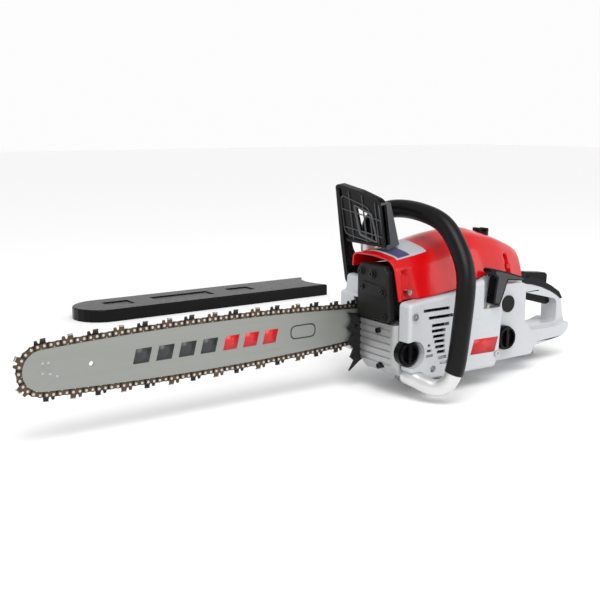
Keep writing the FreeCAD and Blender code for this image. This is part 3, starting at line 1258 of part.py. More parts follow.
def build_top_cover():
    """Top cover: a lofted shell, open below and in front of the muffler."""
    outer = cover_loft("cover_outer", 0, False)
    inner = cover_loft("cover_inner", size("wall"), True)
    shell = cut("cover_shell", outer, [
        inner, block("choke_notch", ("150", "-36", "130"), ("180", "-24", "154")),
        rod("knob_way", "Z", "14.4", "195", "240", ("120", "1")),
        rod("bolt_way_front", "Y", "4.3", "-80", "-50", ("-77", "151")),
        rod("bolt_way_rear", "Y", "4.3", "-80", "-40", ("126", "170"))])
    finish(shell, "top_cover")


def build_cover_trim():
    """Bolts in the side of the cover, and the two-lug knob on its top."""
    bolts = []
    for number, (x, y, z) in enumerate(((-77, -63, 151), (126, -54, 170))):
        bolts.append(rod("cover_bolt_%d" % number, "Y", "4", str(y), str(y + 9), (str(x), str(z))))
    finish(gather("cover_bolts", bolts), "cover_bolts")
    lugs = [block("lug_front", ("109.5", "-6", "217"), ("116", "8", "224")),
            block("lug_rear", ("124", "-6", "217"), ("130.5", "8", "223")),
            rod("lug_base", "Z", "14", "204", "218.5", ("120", "1"))]
    finish(fuse("knob_solid", lugs), "cover_knob")


def build_switch():
    """Stop switch rocker at the front of the rear grip."""
    finish(block("stop_rocker", ("180", "-21", "126"), ("192", "-16", "134")), "stop_switch")


def build_scabbard():
    """Loose bar cover lying on the floor, open at its rear end."""
    body = new_body("scabbard")
    near, far = "scabbard_y", "scabbard_y + scabbard_wide"
    half, steps = size("scabbard_wide") / 2, 12
    round_end = []
    for number in range(steps + 1):
        angle = math.pi / 2 + math.pi * number / steps
        round_end.append(("scabbard_low + %.3f" % (half + half * math.cos(angle)),
                          "%s + %.3f" % (near, half + half * math.sin(angle))))
    mouth = (("scabbard_end", near), ("scabbard_end - 10", "%s + 26" % near),
             ("scabbard_end - 14", "%s + 59" % near), ("scabbard_end - 8", "%s - 26" % far),
             ("scabbard_end + 12", far))
    outline = tuple(round_end) + mouth
    pad(body, "XY", (outline,), "0", "scabbard_high")
    soften(body, "3", at_level("Z", "scabbard_high"))
    inner = box_outline("scabbard_low + 64", "scabbard_end + 25", "%s + 5" % near, "%s - 5" % far)
    pocket(body, "XY", (inner,), "4", "scabbard_high - 4")
    recesses = [box_outline("scabbard_low + %d" % low, "scabbard_low + %d" % high, "%s + 38" % near,
                            "%s - 38" % far) for low, high in ((66, 122), (172, 306), (352, 408))]
    pocket(body, "XY", tuple(recesses), "scabbard_high - 2", "scabbard_high + 1")
    finish(body, "scabbard")


def export_all():
    """Check every object, then write each sub-part to its own STEP file."""
    doc.recompute()
    for item in doc.Objects:
        if "Invalid" in item.State or "Error" in item.State:
            raise RuntimeError("broken object " + item.Name)
    for item, name in finished:
        if item.Shape.isNull() or not item.Shape.isValid():
            raise RuntimeError("bad shape " + name)
        item.Shape.exportStep("parts/%s.step" % name)


BUILDERS = (
    build_crankcase, build_case_screws, build_bearings, build_cylinder, build_plug, build_muffler,
    build_muffler_screws, build_crank_train, build_flywheel, build_coil, build_intake, build_filter,
    build_choke_knob, build_caps, build_starter_cover, build_starter_screws, build_pulley,
    build_starter_grip, build_clutch, build_clutch_cover, build_bar_fixings, build_spike, build_guard,
    build_front_handle, build_rear_handle, build_triggers, build_mounts, build_top_cover,
    build_cover_trim, build_switch, build_bar, build_nose_sprocket, build_chain, build_scabbard,
)

os.makedirs("parts", exist_ok=True)
fill_sheet()
for builder in BUILDERS:
    builder()
export_all()
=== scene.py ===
"""Looks of the chainsaw: materials, finer skins for the moulded parts, light and camera."""
import json
import math

import bmesh
import bpy
from mathutils import Euler, Matrix, Vector
from mathutils.geometry import tessellate_polygon


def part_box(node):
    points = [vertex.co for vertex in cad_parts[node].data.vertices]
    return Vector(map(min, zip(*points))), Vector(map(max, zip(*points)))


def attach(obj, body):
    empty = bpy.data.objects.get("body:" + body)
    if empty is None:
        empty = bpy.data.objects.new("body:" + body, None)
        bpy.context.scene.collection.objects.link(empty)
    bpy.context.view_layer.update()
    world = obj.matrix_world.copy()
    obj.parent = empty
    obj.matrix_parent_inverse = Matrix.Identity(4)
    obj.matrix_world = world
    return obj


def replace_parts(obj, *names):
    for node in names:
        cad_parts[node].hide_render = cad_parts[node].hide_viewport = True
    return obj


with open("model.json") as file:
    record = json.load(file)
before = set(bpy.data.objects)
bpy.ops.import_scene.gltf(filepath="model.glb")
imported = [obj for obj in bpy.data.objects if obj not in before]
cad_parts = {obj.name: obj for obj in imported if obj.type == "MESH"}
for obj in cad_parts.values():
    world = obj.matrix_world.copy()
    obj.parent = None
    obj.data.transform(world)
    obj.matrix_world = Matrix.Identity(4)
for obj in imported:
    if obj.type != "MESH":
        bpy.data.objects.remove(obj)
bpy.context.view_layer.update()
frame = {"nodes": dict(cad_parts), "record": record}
MM = 0.001

# --- materials -----------------------------------------------------------------------------


def surface(name, colour, rough, metal=0.0, mottle=0.06, grain=0.0, grain_size=1.5, rough_spread=0.08,
            coat=0.0, edge=0.4, stretch=(1, 1, 1), fine=0.0, shine=0.5):
    """Principled material whose colour, gloss and relief all vary with procedural noise."""
    made = bpy.data.materials.new(name)
    made.use_nodes = True
    tree = made.node_tree
    nodes, links = tree.nodes, tree.links
    shader = nodes["Principled BSDF"]
    shader.inputs["Metallic"].default_value = metal
    shader.inputs["Specular IOR Level"].default_value = shine
    if coat:
        shader.inputs["Coat Weight"].default_value = coat
        shader.inputs["Coat Roughness"].default_value = 0.06
    place = nodes.new("ShaderNodeTexCoord")
    scale = nodes.new("ShaderNodeMapping")
    scale.inputs["Scale"].default_value = stretch
    links.new(place.outputs["Object"], scale.inputs["Vector"])
    cloud = nodes.new("ShaderNodeTexNoise")
    cloud.inputs["Scale"].default_value = 28
    cloud.inputs["Detail"].default_value = 5
    links.new(scale.outputs["Vector"], cloud.inputs["Vector"])
    tint = nodes.new("ShaderNodeMixRGB")
    tint.inputs["Color1"].default_value = tuple(c * (1 - mottle) for c in colour) + (1,)
    tint.inputs["Color2"].default_value = tuple(min(1, c * (1 + mottle)) for c in colour) + (1,)
    links.new(cloud.outputs["Fac"], tint.inputs["Fac"])
    links.new(tint.outputs["Color"], shader.inputs["Base Color"])
    wear = nodes.new("ShaderNodeTexNoise")
    wear.inputs["Scale"].default_value = 90
    wear.inputs["Detail"].default_value = 8
    links.new(scale.outputs["Vector"], wear.inputs["Vector"])
    gloss = nodes.new("ShaderNodeMapRange")
    gloss.inputs["To Min"].default_value = max(0.02, rough - rough_spread)
    gloss.inputs["To Max"].default_value = min(1, rough + rough_spread)
    links.new(wear.outputs["Fac"], gloss.inputs["Value"])
    links.new(gloss.outputs["Result"], shader.inputs["Roughness"])
    relief = nodes.new("ShaderNodeTexNoise")
    relief.inputs["Scale"].default_value = 1000 / grain_size
    relief.inputs["Detail"].default_value = 3
    links.new(scale.outputs["Vector"], relief.inputs["Vector"])
    bump = nodes.new("ShaderNodeBump")
    bump.inputs["Strength"].default_value = 0.5
    bump.inputs["Distance"].default_value = max(grain, 0.01) * MM
    links.new(relief.outputs["Fac"], bump.inputs["Height"])
    if fine:
        pores = nodes.new("ShaderNodeTexVoronoi")
        pores.inputs["Scale"].default_value = 1400
        second = nodes.new("ShaderNodeBump")
        second.inputs["Strength"].default_value = 0.6
        second.inputs["Distance"].default_value = fine * MM
        links.new(place.outputs["Object"], pores.inputs["Vector"])
        links.new(pores.outputs["Distance"], second.inputs["Height"])
        links.new(second.outputs["Normal"], bump.inputs["Normal"])
    elif edge:
        rounded = nodes.new("ShaderNodeBevel")
        rounded.samples = 4
        rounded.inputs["Radius"].default_value = edge * MM
        links.new(rounded.outputs["Normal"], bump.inputs["Normal"])
    links.new(bump.outputs["Normal"], shader.inputs["Normal"])
    return made


LOOKS = {
    "red_plastic": surface("red_gloss", (0.56, 0.001, 0.003), 0.24, mottle=0.05, grain=0.012, grain_size=9,
                           coat=0.25, shine=0.3),
    "grey_plastic": surface("light_grey_shell", (0.52, 0.535, 0.56), 0.3, mottle=0.02, grain=0.02,
                            grain_size=5, coat=0.25, edge=0.8),
    "black_plastic": surface("black_shell", (0.0025, 0.0025, 0.003), 0.28, mottle=0.3, grain=0.03,
                             grain_size=1.2, edge=0.6, shine=0.14),
    "rubber": surface("grip_rubber", (0.0025, 0.0025, 0.003), 0.36, mottle=0.3, grain=0.05, grain_size=1.6,
                      fine=0.05, shine=0.2),
    "cast_alu": surface("cast_light_alloy", (0.46, 0.465, 0.47), 0.42, metal=0.75, mottle=0.12, grain=0.16,
                        grain_size=1.6, edge=1.0),
    "tube_alu": surface("bare_tube", (0.72, 0.72, 0.72), 0.34, metal=0.8, mottle=0.05, grain=0.02,
                        stretch=(1, 1, 0.2)),
    "heat_black": surface("heat_paint", (0.007, 0.0065, 0.0065), 0.5, mottle=0.3, grain=0.07,
                          grain_size=0.8, edge=1.0, shine=0.25),
    "bar_steel": surface("bar_lacquer", (0.29, 0.30, 0.28), 0.38, metal=0.55, mottle=0.05, grain=0.012,
                         stretch=(0.15, 1, 6), edge=0.3),
    "steel": surface("machined_steel", (0.55, 0.55, 0.55), 0.3, metal=1.0, mottle=0.1, grain=0.03),
    "chrome": surface("bright_cutters", (0.5, 0.5, 0.49), 0.2, metal=1.0, mottle=0.08, grain=0.02, edge=0.2),
    "bronze": surface("bronzed_links", (0.1, 0.065, 0.038), 0.3, metal=0.85, mottle=0.5, grain=0.03,
                      edge=0.2),
    "dark_steel": surface("oiled_steel", (0.03, 0.03, 0.032), 0.36, metal=0.8, mottle=0.3, grain=0.04),
    "filter_felt": surface("felt_and_cord", (0.72, 0.68, 0.55), 0.85, mottle=0.15, grain=0.2, grain_size=0.6),
    "porcelain": surface("plug_glaze", (0.8, 0.8, 0.77), 0.2, mottle=0.03, grain=0.01),
}

for entry in frame["record"]["subparts"]:
    target = frame["nodes"][entry["node"]]
    target.data.materials.clear()
    target.data.materials.append(LOOKS[entry["material_slot"]])

# Looks of single painted or two-tone faces; the greys on the starter grip and the hand guard are painted
# light on black plastic.
MARK_DARK = surface("mark_dark", (0.025, 0.028, 0.03), 0.4, mottle=0.1, edge=0)
MARK_RED = surface("mark_red", (0.55, 0.01, 0.015), 0.35, mottle=0.05, edge=0)
# Dark grey for the lit outer face of the black starter grip: painted light.
GRIP_PAINTED_LIGHT = surface("starter_grip_painted_light", (0.03, 0.03, 0.033), 0.42, mottle=0.12, grain=0.04,
                    grain_size=1.2, edge=1.0)
LABEL_GREY = surface("label_grey", (0.42, 0.43, 0.45), 0.4, mottle=0.1, edge=0)
LABEL_NAVY = surface("label_navy", (0.05, 0.05, 0.14), 0.4, mottle=0.2, edge=0)
# Grey for the guard's ribs and near arm: painted highlight and painted light on black plastic.
GUARD_PAINTED_HIGHLIGHT = surface("guard_painted_highlight", (0.06, 0.063, 0.068), 0.4, mottle=0.15, grain=0.03,
                         grain_size=1.2, edge=0.6)

# --- helpers for the finer skins -----------------------------------------------------------

PLANES = {
    "XZ": lambda a, b, depth: (a, depth, b),
    "YZ": lambda a, b, depth: (depth, a, b),
    "XY": lambda a, b, depth: (a, b, depth),
}


def new_piece(name, points, faces, look, body, slot_name=None, bevel=0.0, segments=3, smooth=True):
    """Mesh object in metres from points in millimetres, riding on a body."""
    mesh = bpy.data.meshes.new(name)
    mesh.from_pydata([tuple(c * MM for c in p) for p in points], [], faces)
    tidy = bmesh.new()
    tidy.from_mesh(mesh)
    bmesh.ops.remove_doubles(tidy, verts=tidy.verts, dist=1e-6)
    bmesh.ops.recalc_face_normals(tidy, faces=tidy.faces)
    tidy.to_mesh(mesh)
    tidy.free()
    for polygon in mesh.polygons:
        polygon.use_smooth = smooth
    piece = bpy.data.objects.new(name, mesh)
    bpy.context.scene.collection.objects.link(piece)
    mesh.materials.append(LOOKS[look] if isinstance(look, str) else look)
    if bevel:
        rounded = piece.modifiers.new("round", "BEVEL")
        rounded.width = bevel * MM
        rounded.segments = segments
        rounded.limit_method = "ANGLE"
        rounded.angle_limit = math.radians(30)
        rounded.harden_normals = True
    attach(piece, body)
    return piece


def slab_mesh(loops, plane, low, high):
    """Points and faces of a flat plate with holes, between two depths."""
    to_space = PLANES[plane]
    flat = [[Vector((a, b, 0)) for a, b in loop] for loop in loops]
    order = tessellate_polygon(flat)
    count = sum(len(loop) for loop in loops)
    points = [to_space(a, b, depth) for depth in (low, high) for loop in loops for a, b in loop]
    faces = [tuple(tri) for tri in order] + [tuple(i + count for i in reversed(tri)) for tri in order]
    start = 0
    for loop in loops:
        size = len(loop)
        for i in range(size):
            j = (i + 1) % size
            faces.append((start + i, start + j, start + j + count, start + i + count))
        start += size
    return points, faces


def slab(name, loops, plane, low, high, look, body, **extra):
    """Flat plate with holes as a piece."""
    points, faces = slab_mesh(loops, plane, low, high)
    return new_piece(name, points, faces, look, body, **extra)


def disc_loop(middle, radius, step):
    """Circle as a polygon with a corner every so many degrees."""
    across, up = middle
    return tuple((across + radius * math.cos(math.radians(a)), up + radius * math.sin(math.radians(a)))
                 for a in range(0, 360, step))


def rounded_loop(corners, radius, steps=4):
    """Polygon with each corner replaced by a short curve."""
    result = []
    total = len(corners)
    for i in range(total):
        here = Vector(corners[i])
        before = Vector(corners[i - 1])
        after = Vector(corners[(i + 1) % total])
        reach_in = min(radius, (before - here).length * 0.45)
        reach_out = min(radius, (after - here).length * 0.45)
        start = here + (before - here).normalized() * reach_in
        end = here + (after - here).normalized() * reach_out
        for k in range(steps + 1):
            t = k / steps
            result.append(tuple(start * (1 - t) ** 2 + here * 2 * t * (1 - t) + end * t ** 2))
    return result


# --- top cover -----------------------------------------------------------------------------

# The cover's outer corners at stations along X, as (Y, Z) from the starter side over the top.
COVER_STATIONS = (-94, -45, 10, 60, 115, 154, 170)
COVER_CORNERS = (
    ((-60, 139), (-54, 165), (-49, 185), (-38, 195), (0, 199), (37, 198.5), (45, 193), (46, 178)),
    ((-69, 143), (-60, 172), (-52, 190), (-40, 203), (0, 212), (34, 205), (44, 193), (47, 180)),
    ((-73, 151), (-64, 176), (-54, 200), (-42, 216), (0, 226), (38, 216), (47, 198), (50, 178)),
    ((-71, 167), (-62, 184), (-50, 206), (-36, 223), (-8, 232), (34, 222), (46, 202), (51, 172)),
    ((-61, 152), (-54, 176), (-44, 198), (-33, 211), (-4, 217), (32, 210), (43, 196), (48, 162)),
    ((-47, 144), (-42, 168), (-36, 186), (-27, 197), (0, 203), (28, 196), (37, 184), (42, 152)),
    ((-42, 143), (-38, 162), (-32, 178), (-24, 189), (0, 195), (24, 189), (32, 178), (38, 150)),
)


def softened(value_at, t, last, reach):
    """Value along a broken line with its corners rounded by averaging over a short reach."""
    width = min(reach, t, last - t)
    total = None
    for k in range(-3, 4):
        here = value_at(min(last, max(0, t + width * k / 3)))
        total = here if total is None else total + here
    return total / 7


def corner_at(station, v):
    """Point on one section's broken line."""
    corners = COVER_CORNERS[station]
    i = min(len(corners) - 2, int(v))
    a, b = Vector(corners[i]), Vector(corners[i + 1])
    y, z = a.lerp(b, v - i)
    return Vector((COVER_STATIONS[station], y, z))


def between_stations(s, v):
    """Point between two stations."""
    i = min(len(COVER_STATIONS) - 2, int(s))
    return corner_at(i, v).lerp(corner_at(i + 1, v), s - i)


def cover_surface(s, v):
    """Smooth outer skin of the cover at station s and place v across."""
    last_v = len(COVER_CORNERS[0]) - 1
    last_s = len(COVER_STATIONS) - 1
    return softened(lambda a: softened(lambda b: between_stations(a, b), v, last_v, 0.26), s, last_s, 0.3)


def step_up(x, low, high):
    """Smooth step from 0 to 1."""
    t = min(1, max(0, (x - low) / (high - low)))
    return t * t * (3 - 2 * t)


def bolt_pockets(p):
    """How far the side of the cover sinks in round its two bolts."""
    if p.y > -20:
        return 0
    depth = 0
    for x, z_low, z_high, wide_low, wide_high, deep in ((-77, 130, 183, 12, 5, 7), (126, 140, 190, 9, 4, 8)):
        t = min(1, max(0, (p.z - z_low) / (z_high - z_low)))
        half = wide_low + (wide_high - wide_low) * t
        across = 1 - step_up(abs(p.x - x), half - 1.5, half + 1.5)
        along = 1 - step_up(p.z, z_high - 8, z_high)
        depth = max(depth, deep * across * along)
    return depth


def make_top_cover():
    """Glossy shell over the engine, with its bolt pockets, as one curved skin with thickness."""
    across, along = 100, 150
    last_v = len(COVER_CORNERS[0]) - 1
    last_s = len(COVER_STATIONS) - 1
    rows = []
    for i in range(along + 1):
        row = [cover_surface(last_s * i / along, last_v * j / across) for j in range(across + 1)]
        rows.append([Vector((p.x, p.y + bolt_pockets(p), p.z)) for p in row])
    heart_z = 150
    for k in range(1, 9):
        turn = k / 8 * math.pi / 2
        shrink, bulge = math.cos(turn) ** 0.5, 3 * math.sin(turn)
        rows.append([Vector((p.x + bulge, p.y * shrink, max(143, heart_z + (p.z - heart_z) * shrink)))
                     for p in rows[along]])
    points = [p for row in rows for p in row]
    wide = across + 1
    faces = [(i * wide + j, i * wide + j + 1, (i + 1) * wide + j + 1, (i + 1) * wide + j)
             for i in range(len(rows) - 1) for j in range(across)]
    cover = new_piece("top_cover_shell", points, faces, "red_plastic", "chassis")
    skin = cover.modifiers.new("wall", "SOLIDIFY")
    skin.thickness = 2.6 * MM
    skin.offset = -1
    edge = cover.modifiers.new("edge", "BEVEL")
    edge.width = 0.8 * MM
    edge.segments = 2
    edge.limit_method = "ANGLE"
    edge.angle_limit = math.radians(60)
    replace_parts(cover, "top_cover")


def make_cover_label():
    """Plain grey panel with two blocks of colour, lying on the cover behind the guard."""
    def lay(name, s_low, s_high, v_low, v_high, lift, look):
        steps = 16
        rows = []
        for i in range(steps + 1):
            for j in range(steps + 1):
                s = s_low + (s_high - s_low) * i / steps
                v = v_low + (v_high - v_low) * j / steps
                here = cover_surface(s, v)
                du = cover_surface(s + 0.02, v) - here
                dv = cover_surface(s, v + 0.02) - here
                normal = du.cross(dv).normalized()
                if normal.z < 0:
                    normal = -normal
                rows.append(here + normal * lift)
        wide = steps + 1
        faces = [(i * wide + j, i * wide + j + 1, (i + 1) * wide + j + 1, (i + 1) * wide + j)
                 for i in range(steps) for j in range(steps)]
        return new_piece(name, rows, faces, look, "chassis", slot_name="grey_plastic")
    lay("cover_label", 0.22, 1.25, 2.75, 4.6, 0.25, LABEL_GREY)
    lay("cover_label_block", 0.3, 0.72, 2.9, 4.3, 0.45, LABEL_NAVY)


def make_cover_knob():
    """Sunken disc of the cover latch with its two upright finger lugs."""
    disc = disc_loop((120, 1), 12, 10)
    base = slab("knob_disc", (disc,), "XY", 204, 218.2, "black_plastic", "cover_knob", bevel=1.2)
    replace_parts(base, "cover_knob")
    for number, (low, high, top) in enumerate(((109.5, 116, 224), (124, 130.5, 223))):
        lug = rounded_loop(((low, 217.6), (high, 217.6), (high - 0.6, top), (low + 0.6, top)), 1.5)
        slab("knob_lug_%d" % number, (lug,), "XZ", -6, 8, "black_plastic", "cover_knob", bevel=1.2)


GRIP_FOOT = Vector((66, 0, 124))
GRIP_LEAN = math.radians(14.5)


def make_starter_grip():
    """T handle: slim bar with a rounded top over a tapering stem, black with a grey panel on its outer face
    that is painted light for that lit face.
    """
    upright_to_place = Matrix.Translation(GRIP_FOOT * MM) @ Matrix.Rotation(GRIP_LEAN, 4, "Y")
    outline = rounded_loop(((-4.5, -1.6), (9, -2.4), (13, 18), (15, 37.5), (51, 42), (53.5, 44), (50, 47),
                            (10, 48.4), (-23, 48.4), (-26, 44), (-19, 40), (-8, 36), (-7, 20)), 3)
    handle = slab("grip_body", (outline,), "XZ", -87.8, -73.4, "black_plastic", "starter_grip", bevel=2.2)
    handle.data.transform(upright_to_place)
    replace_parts(handle, "starter_grip")
    # Grey panel on the outer face: painted light where the black grip is lit, while its sides stay black as
    # in shade.
    face = rounded_loop(((-1.5, 1), (7, 0.6), (10.8, 19), (13, 39), (49, 43.2), (47, 45.2), (10, 46.4),
                         (-12, 46.4), (-14, 43), (-5, 38), (-3.6, 20)), 2)
    panel = slab("grip_painted_light_face", (face,), "XZ", -88, -87, GRIP_PAINTED_LIGHT, "starter_grip",
                 slot_name="black_plastic", bevel=0.4)
    panel.data.transform(upright_to_place)


# --- hand guard ----------------------------------------------------------------------------

GUARD_PIVOT = Vector((-50, 0, 142))
GUARD_LEAN = math.radians(-9)


def lean_guard(piece):
    """Lean a guard piece, drawn upright, about its pivot."""
    turn = Matrix.Rotation(GUARD_LEAN, 4, "Y")
    shift = Matrix.Translation(GUARD_PIVOT * MM)
    piece.data.transform(shift @ turn @ Matrix.Translation(-GUARD_PIVOT * MM))
    return piece


def make_hand_guard():
    """Guard with a thin web, ribs on its front, a thick border and its two side arms; the ribs and the near
    arm are grey as painted highlight and painted light on the black plastic.
    """
    outline = rounded_loop(((-14, 212), (-14, 276), (-8, 281), (30, 291), (80, 299), (88, 296),
                            (88, 217), (74, 213)), 4)
    window = rounded_loop(((5, 219), (12, 257), (47, 268), (41, 228)), 4)
    inset = rounded_loop(((-10, 215.5), (-10, 272), (-6, 276), (31, 286), (79, 294), (83, 292), (83, 221),
                          (73, 217.5)), 4)
    web = slab("guard_web", (outline, window), "YZ", -69, -65, "black_plastic", "hand_guard", bevel=0.5)
    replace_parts(lean_guard(web), "hand_guard")
    lean_guard(slab("guard_border", (outline, inset), "YZ", -71, -61, "black_plastic", "hand_guard",
                    bevel=1.6))
    ring_out = rounded_loop(((14, 216), (14, 268), (80, 284), (80, 224)), 11)
    ring_in = rounded_loop(((15.2, 217.4), (15.2, 267), (78.8, 282.5), (78.8, 225.2)), 10)
    # Ribs drawn in grey: painted highlight along the black ribs.
    traces = [(ring_out, ring_in)]
    for low, high in ((226, 235), (250, 262)):
        traces.append((((-10, low), (83, high), (83, high + 1.2), (-10, low + 1.2)),))
    for y, low, high in ((0, 215, 277), (28, 215, 285), (58, 216, 290)):
        traces.append((((y, low), (y + 1.2, low), (y + 1.2, high), (y, high)),))
    rim = rounded_loop(((2, 216.5), (9, 260), (50, 271), (44, 225)), 5)
    traces.append((rim, window))
    for number, loops in enumerate(traces):
        lean_guard(slab("guard_rib_%d" % number, loops, "YZ", -70.6 - 0.05 * number, -68.5, GUARD_PAINTED_HIGHLIGHT,
                        "hand_guard", slot_name="black_plastic", bevel=0.3))
    # Near arm in grey as painted light on its lit face; the far leg stays black.
    arm = rounded_loop(((-70.9, 277), (-53, 275), (-45, 211), (-68, 208)), 3)
    lean_guard(slab("guard_arm", (arm,), "XZ", -13.9, -7, GUARD_PAINTED_HIGHLIGHT, "hand_guard",
                    slot_name="black_plastic", bevel=2))
    leg = rounded_loop(((-71, 293), (-62, 292), (-58, 200), (-40, 152), (-41, 134), (-58, 133), (-74, 150),
                        (-74, 206)), 5)
    lean_guard(slab("guard_leg", (leg,), "XZ", 79.6, 87.8, "black_plastic", "hand_guard", bevel=2))


# --- rear handle ---------------------------------------------------------------------------


def make_rear_handle():
    """Tank, closed grip loop and base with rounded edges, and the soft black strip along the top."""
    outer = rounded_loop(((160, 140), (200, 138), (222, 137), (246, 129), (270, 118), (288, 107), (295, 97),
                          (300, 68), (304, 60), (304, 46), (292, 36), (235, 29), (160, 26)), 7)
    loop = rounded_loop(((202, 117), (284, 97), (284, 58), (186, 62), (195, 88), (200, 108)), 9)
    grip = slab("handle_loop", (outer, loop), "XZ", -16, 16, "grey_plastic", "chassis", bevel=5, segments=4)
    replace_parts(grip, "rear_handle")
    tank = rounded_loop(((98, 30), (104, 26), (187, 26), (190, 56), (172, 74), (166, 80), (166, 138),
                         (158, 142), (112, 142), (104, 132), (98, 120)), 7)
    slab("tank_shell", (tank,), "XZ", -55, 45, "grey_plastic", "chassis", bevel=5, segments=4)
    base = rounded_loop(((160, 26), (235, 29), (292, 36), (303, 44), (306, 52), (304, 60), (276, 53),
                         (220, 54), (186, 62)), 7)
    slab("handle_base", (base,), "XZ", -25, 38, "grey_plastic", "chassis", bevel=5, segments=4)
    # Black rubber heel under the base: a support that is made up, set where there is only shade, so its black
    # stands in as painted shadow.
    shaded_heel = rounded_loop(((222, 36), (222, 0), (272, 0), (272, 36)), 3)
    slab("handle_heel_in_shade", (shaded_heel,), "XZ", 18, 36, "rubber", "chassis", bevel=2)
    crest = ((199, 139.4), (222, 139), (246, 131.4), (270, 120.4), (289, 109), (297.4, 97))
    flank = ((292, 97), (284, 103), (268, 111.5), (244, 121), (222, 127), (199, 131))
    roof = ((292, 99), (286, 107), (268, 117), (244, 128), (222, 135.6), (199, 136))
    for name, underside, y_low, y_high in (("left", flank, -16.6, -10), ("top", roof, -10.5, 10.5),
                                           ("right", flank, 10, 16.6)):
        strip = rounded_loop(crest + underside, 2)
        slab("grip_strip_" + name, (strip,), "XZ", y_low, y_high, "rubber", "chassis",
             bevel=0.5 if name == "top" else 2.2)


# --- chain ---------------------------------------------------------------------------------


def islands(mesh):
    """Groups of faces that hang together."""
    owner = list(range(len(mesh.vertices)))

    def root(i):
        while owner[i] != i:
            owner[i] = owner[owner[i]]
            i = owner[i]
        return i
    for edge in mesh.edges:
        a, b = root(edge.vertices[0]), root(edge.vertices[1])
        owner[a] = b
    groups = {}
    for polygon in mesh.polygons:
        groups.setdefault(root(polygon.vertices[0]), []).append(polygon)
    return groups.values()


def colour_chain():
    """Bronzed plates, bright rivet heads, chrome cutters on the near side and dark steel cutters on the far
    side, the dark being painted shade on the same chrome cutter.
    """
    bar_low, bar_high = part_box("guide_bar")
    middle = (bar_low.y + bar_high.y) / 2
    plate_face = 2.1 * MM
    cutters = frame["nodes"]["chain_cutters"].data
    straps = frame["nodes"]["chain_tie_straps"].data
    for mesh in (cutters, straps):
        mesh.materials.clear()
        for look in ("bronze", "steel", "chrome", "dark_steel"):
            mesh.materials.append(LOOKS[look])
        for group in islands(mesh):
            heights = [p.center.y - middle for p in group]
            lit_near_cutter = mesh == cutters and min(heights) < -2.62 * MM
            for polygon, height in zip(group, heights):
                choice = 0
                if abs(height) > plate_face:
                    choice = 1
                if mesh == cutters:
                    if lit_near_cutter and height < 0:
                        choice = 2
                    # Far-side cutters take dark steel: painted shade on the same chrome cutter part.
                    if not lit_near_cutter and height > -0.5 * MM:
                        choice = 3
                polygon.material_index = choice


def two_tone(node, first, second, chosen):
    """Give the faces that pass a test the second look."""
    mesh = frame["nodes"][node].data
    mesh.materials.clear()
    mesh.materials.append(first)
    mesh.materials.append(second)
    for polygon in mesh.polygons:
        polygon.material_index = 1 if chosen(polygon) else 0


# --- painted marks -------------------------------------------------------------------------


def slanted_bar(low_x, high_x, low_z, high_z, slant):
    """Corners of a leaning bar."""
    return ((low_x, low_z), (high_x, low_z), (high_x + slant, high_z), (low_x + slant, high_z))


NOSE_RIVETS = ((-567, 101.5), (-560, 101.5), (-567.5, 89), (-558.5, 87.5), (-550, 83.5))


def make_marks():
    """Plain stripes on the bar, an oval outline near its root and a red flash on the starter cover."""
    bar_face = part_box("guide_bar")[0].y / MM + 0.4
    for number in range(4):
        x = -452 + 32 * number
        bar = slanted_bar(x, x + 22, 84, 103, 5)
        slab("bar_stripe_%d" % number, (bar,), "XZ", bar_face - 0.12, bar_face, MARK_DARK, "chassis",
             slot_name="bar_steel")
    for number in range(3):
        x = -322 + 31 * number
        bar = slanted_bar(x, x + 21, 84, 103, 5)
        slab("bar_flash_%d" % number, (bar,), "XZ", bar_face - 0.12, bar_face, MARK_RED, "chassis",
             slot_name="bar_steel")
    outer = rounded_loop(((-214, 84), (-171, 84), (-171, 104), (-214, 104)), 9)
    inner = rounded_loop(((-212.2, 85.8), (-172.8, 85.8), (-172.8, 102.2), (-212.2, 102.2)), 8)
    slab("bar_oval", (outer, inner), "XZ", bar_face - 0.12, bar_face, MARK_DARK, "chassis",
         slot_name="bar_steel")
    for number, (x, z) in enumerate(NOSE_RIVETS):
        head = disc_loop((x, z), 1.7, 20)
        slab("nose_rivet_%d" % number, (head,), "XZ", bar_face - 0.2, bar_face, LABEL_GREY, "chassis",
             slot_name="bar_steel")
    cover_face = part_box("starter_cover")[0].y / MM
    flash = ((26, 51), (75, 50), (82, 72), (33, 73))
    slab("cover_flash", (flash,), "XZ", cover_face - 0.15, cover_face + 0.1, MARK_RED, "chassis",
         slot_name="grey_plastic")


# --- ground, light and camera --------------------------------------------------------------

def make_ground():
    """Plain pale floor."""
    floor = bpy.data.meshes.new("floor")
    reach = 12
    floor.from_pydata([(-reach, -reach, -0.0005), (reach, -reach, -0.0005), (reach, reach, -0.0005),
                       (-reach, reach, -0.0005)], [], [(0, 1, 2, 3)])
    ground = bpy.data.objects.new("floor", floor)
    bpy.context.scene.collection.objects.link(ground)
    floor.materials.append(surface("pale_floor", (0.95, 0.95, 0.95), 0.8, mottle=0.004, edge=0, shine=0.2))


def soft_box(name, place, aim, width, height, power):
    """Large soft light."""
    data = bpy.data.lights.new(name, "AREA")
    data.shape = "RECTANGLE"
    data.size = width
    data.size_y = height
    data.energy = power
    lamp = bpy.data.objects.new(name, data)
    bpy.context.scene.collection.objects.link(lamp)
    lamp.location = place
    direction = Vector(aim) - Vector(place)
    lamp.rotation_euler = direction.to_track_quat("-Z", "Y").to_euler()


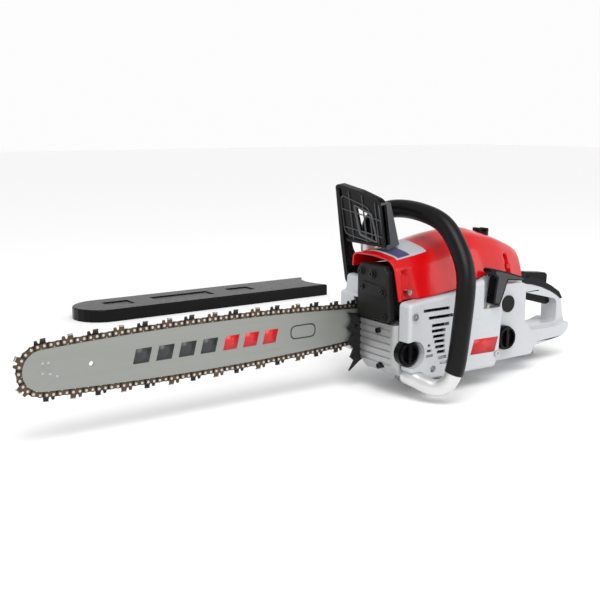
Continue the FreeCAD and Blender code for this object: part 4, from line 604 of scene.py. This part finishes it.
def make_world():
    """Sky that is white at the horizon and dimmer overhead, which gives the glossy shells their contrast."""
    world = bpy.data.worlds.new("studio")
    bpy.context.scene.world = world
    world.use_nodes = True
    nodes, links = world.node_tree.nodes, world.node_tree.links
    back = nodes["Background"]
    back.inputs["Color"].default_value = (1, 1, 1, 1)
    direction = nodes.new("ShaderNodeTexCoord")
    split = nodes.new("ShaderNodeSeparateXYZ")
    fade = nodes.new("ShaderNodeMapRange")
    fade.inputs["From Min"].default_value = 0.12
    fade.inputs["From Max"].default_value = 0.75
    fade.inputs["To Min"].default_value = 0.98
    fade.inputs["To Max"].default_value = 0.5
    links.new(direction.outputs["Generated"], split.inputs["Vector"])
    links.new(split.outputs["Z"], fade.inputs["Value"])
    links.new(fade.outputs["Result"], back.inputs["Strength"])


def make_light():
    """Soft key from the front left, weaker fill from the right and a wide overhead sun for the floor."""
    soft_box("key", (-0.7, -1.0, 2.0), (0, 0, 0.1), 1.0, 1.0, 14)
    soft_box("fill", (1.6, -1.6, 1.0), (0, 0, 0.1), 1.4, 1.0, 8)
    data = bpy.data.lights.new("overhead", "SUN")
    data.energy = 1.35
    data.angle = math.radians(50)
    lamp = bpy.data.objects.new("overhead", data)
    bpy.context.scene.collection.objects.link(lamp)
    lamp.rotation_euler = (math.radians(24), math.radians(-14), 0)


def make_camera():
    """Camera at the viewing angle, a little above the saw and in front of its starter side."""
    data = bpy.data.cameras.new("camera")
    data.lens = 56.2
    data.sensor_width = 36
    camera = bpy.data.objects.new("camera", data)
    bpy.context.scene.collection.objects.link(camera)
    camera.location = (-0.9248, -1.0274, 0.3807)
    camera.rotation_euler = Euler((math.radians(90 - 10.66), 0, math.radians(-34.51)))
    bpy.context.scene.camera = camera


bpy.context.scene.view_settings.view_transform = "Standard"
two_tone("cover_bolts", LOOKS["chrome"], LOOKS["red_plastic"], lambda face: face.center.x > 0)
frame["nodes"]["starter_screws"].data.materials[0] = LOOKS["steel"]
frame["nodes"]["muffler_screws"].data.materials[0] = LOOKS["dark_steel"]
colour_chain()
make_marks()
make_top_cover()
make_cover_label()
make_cover_knob()
make_starter_grip()
make_hand_guard()
make_rear_handle()
make_ground()
make_world()
make_light()
make_camera()
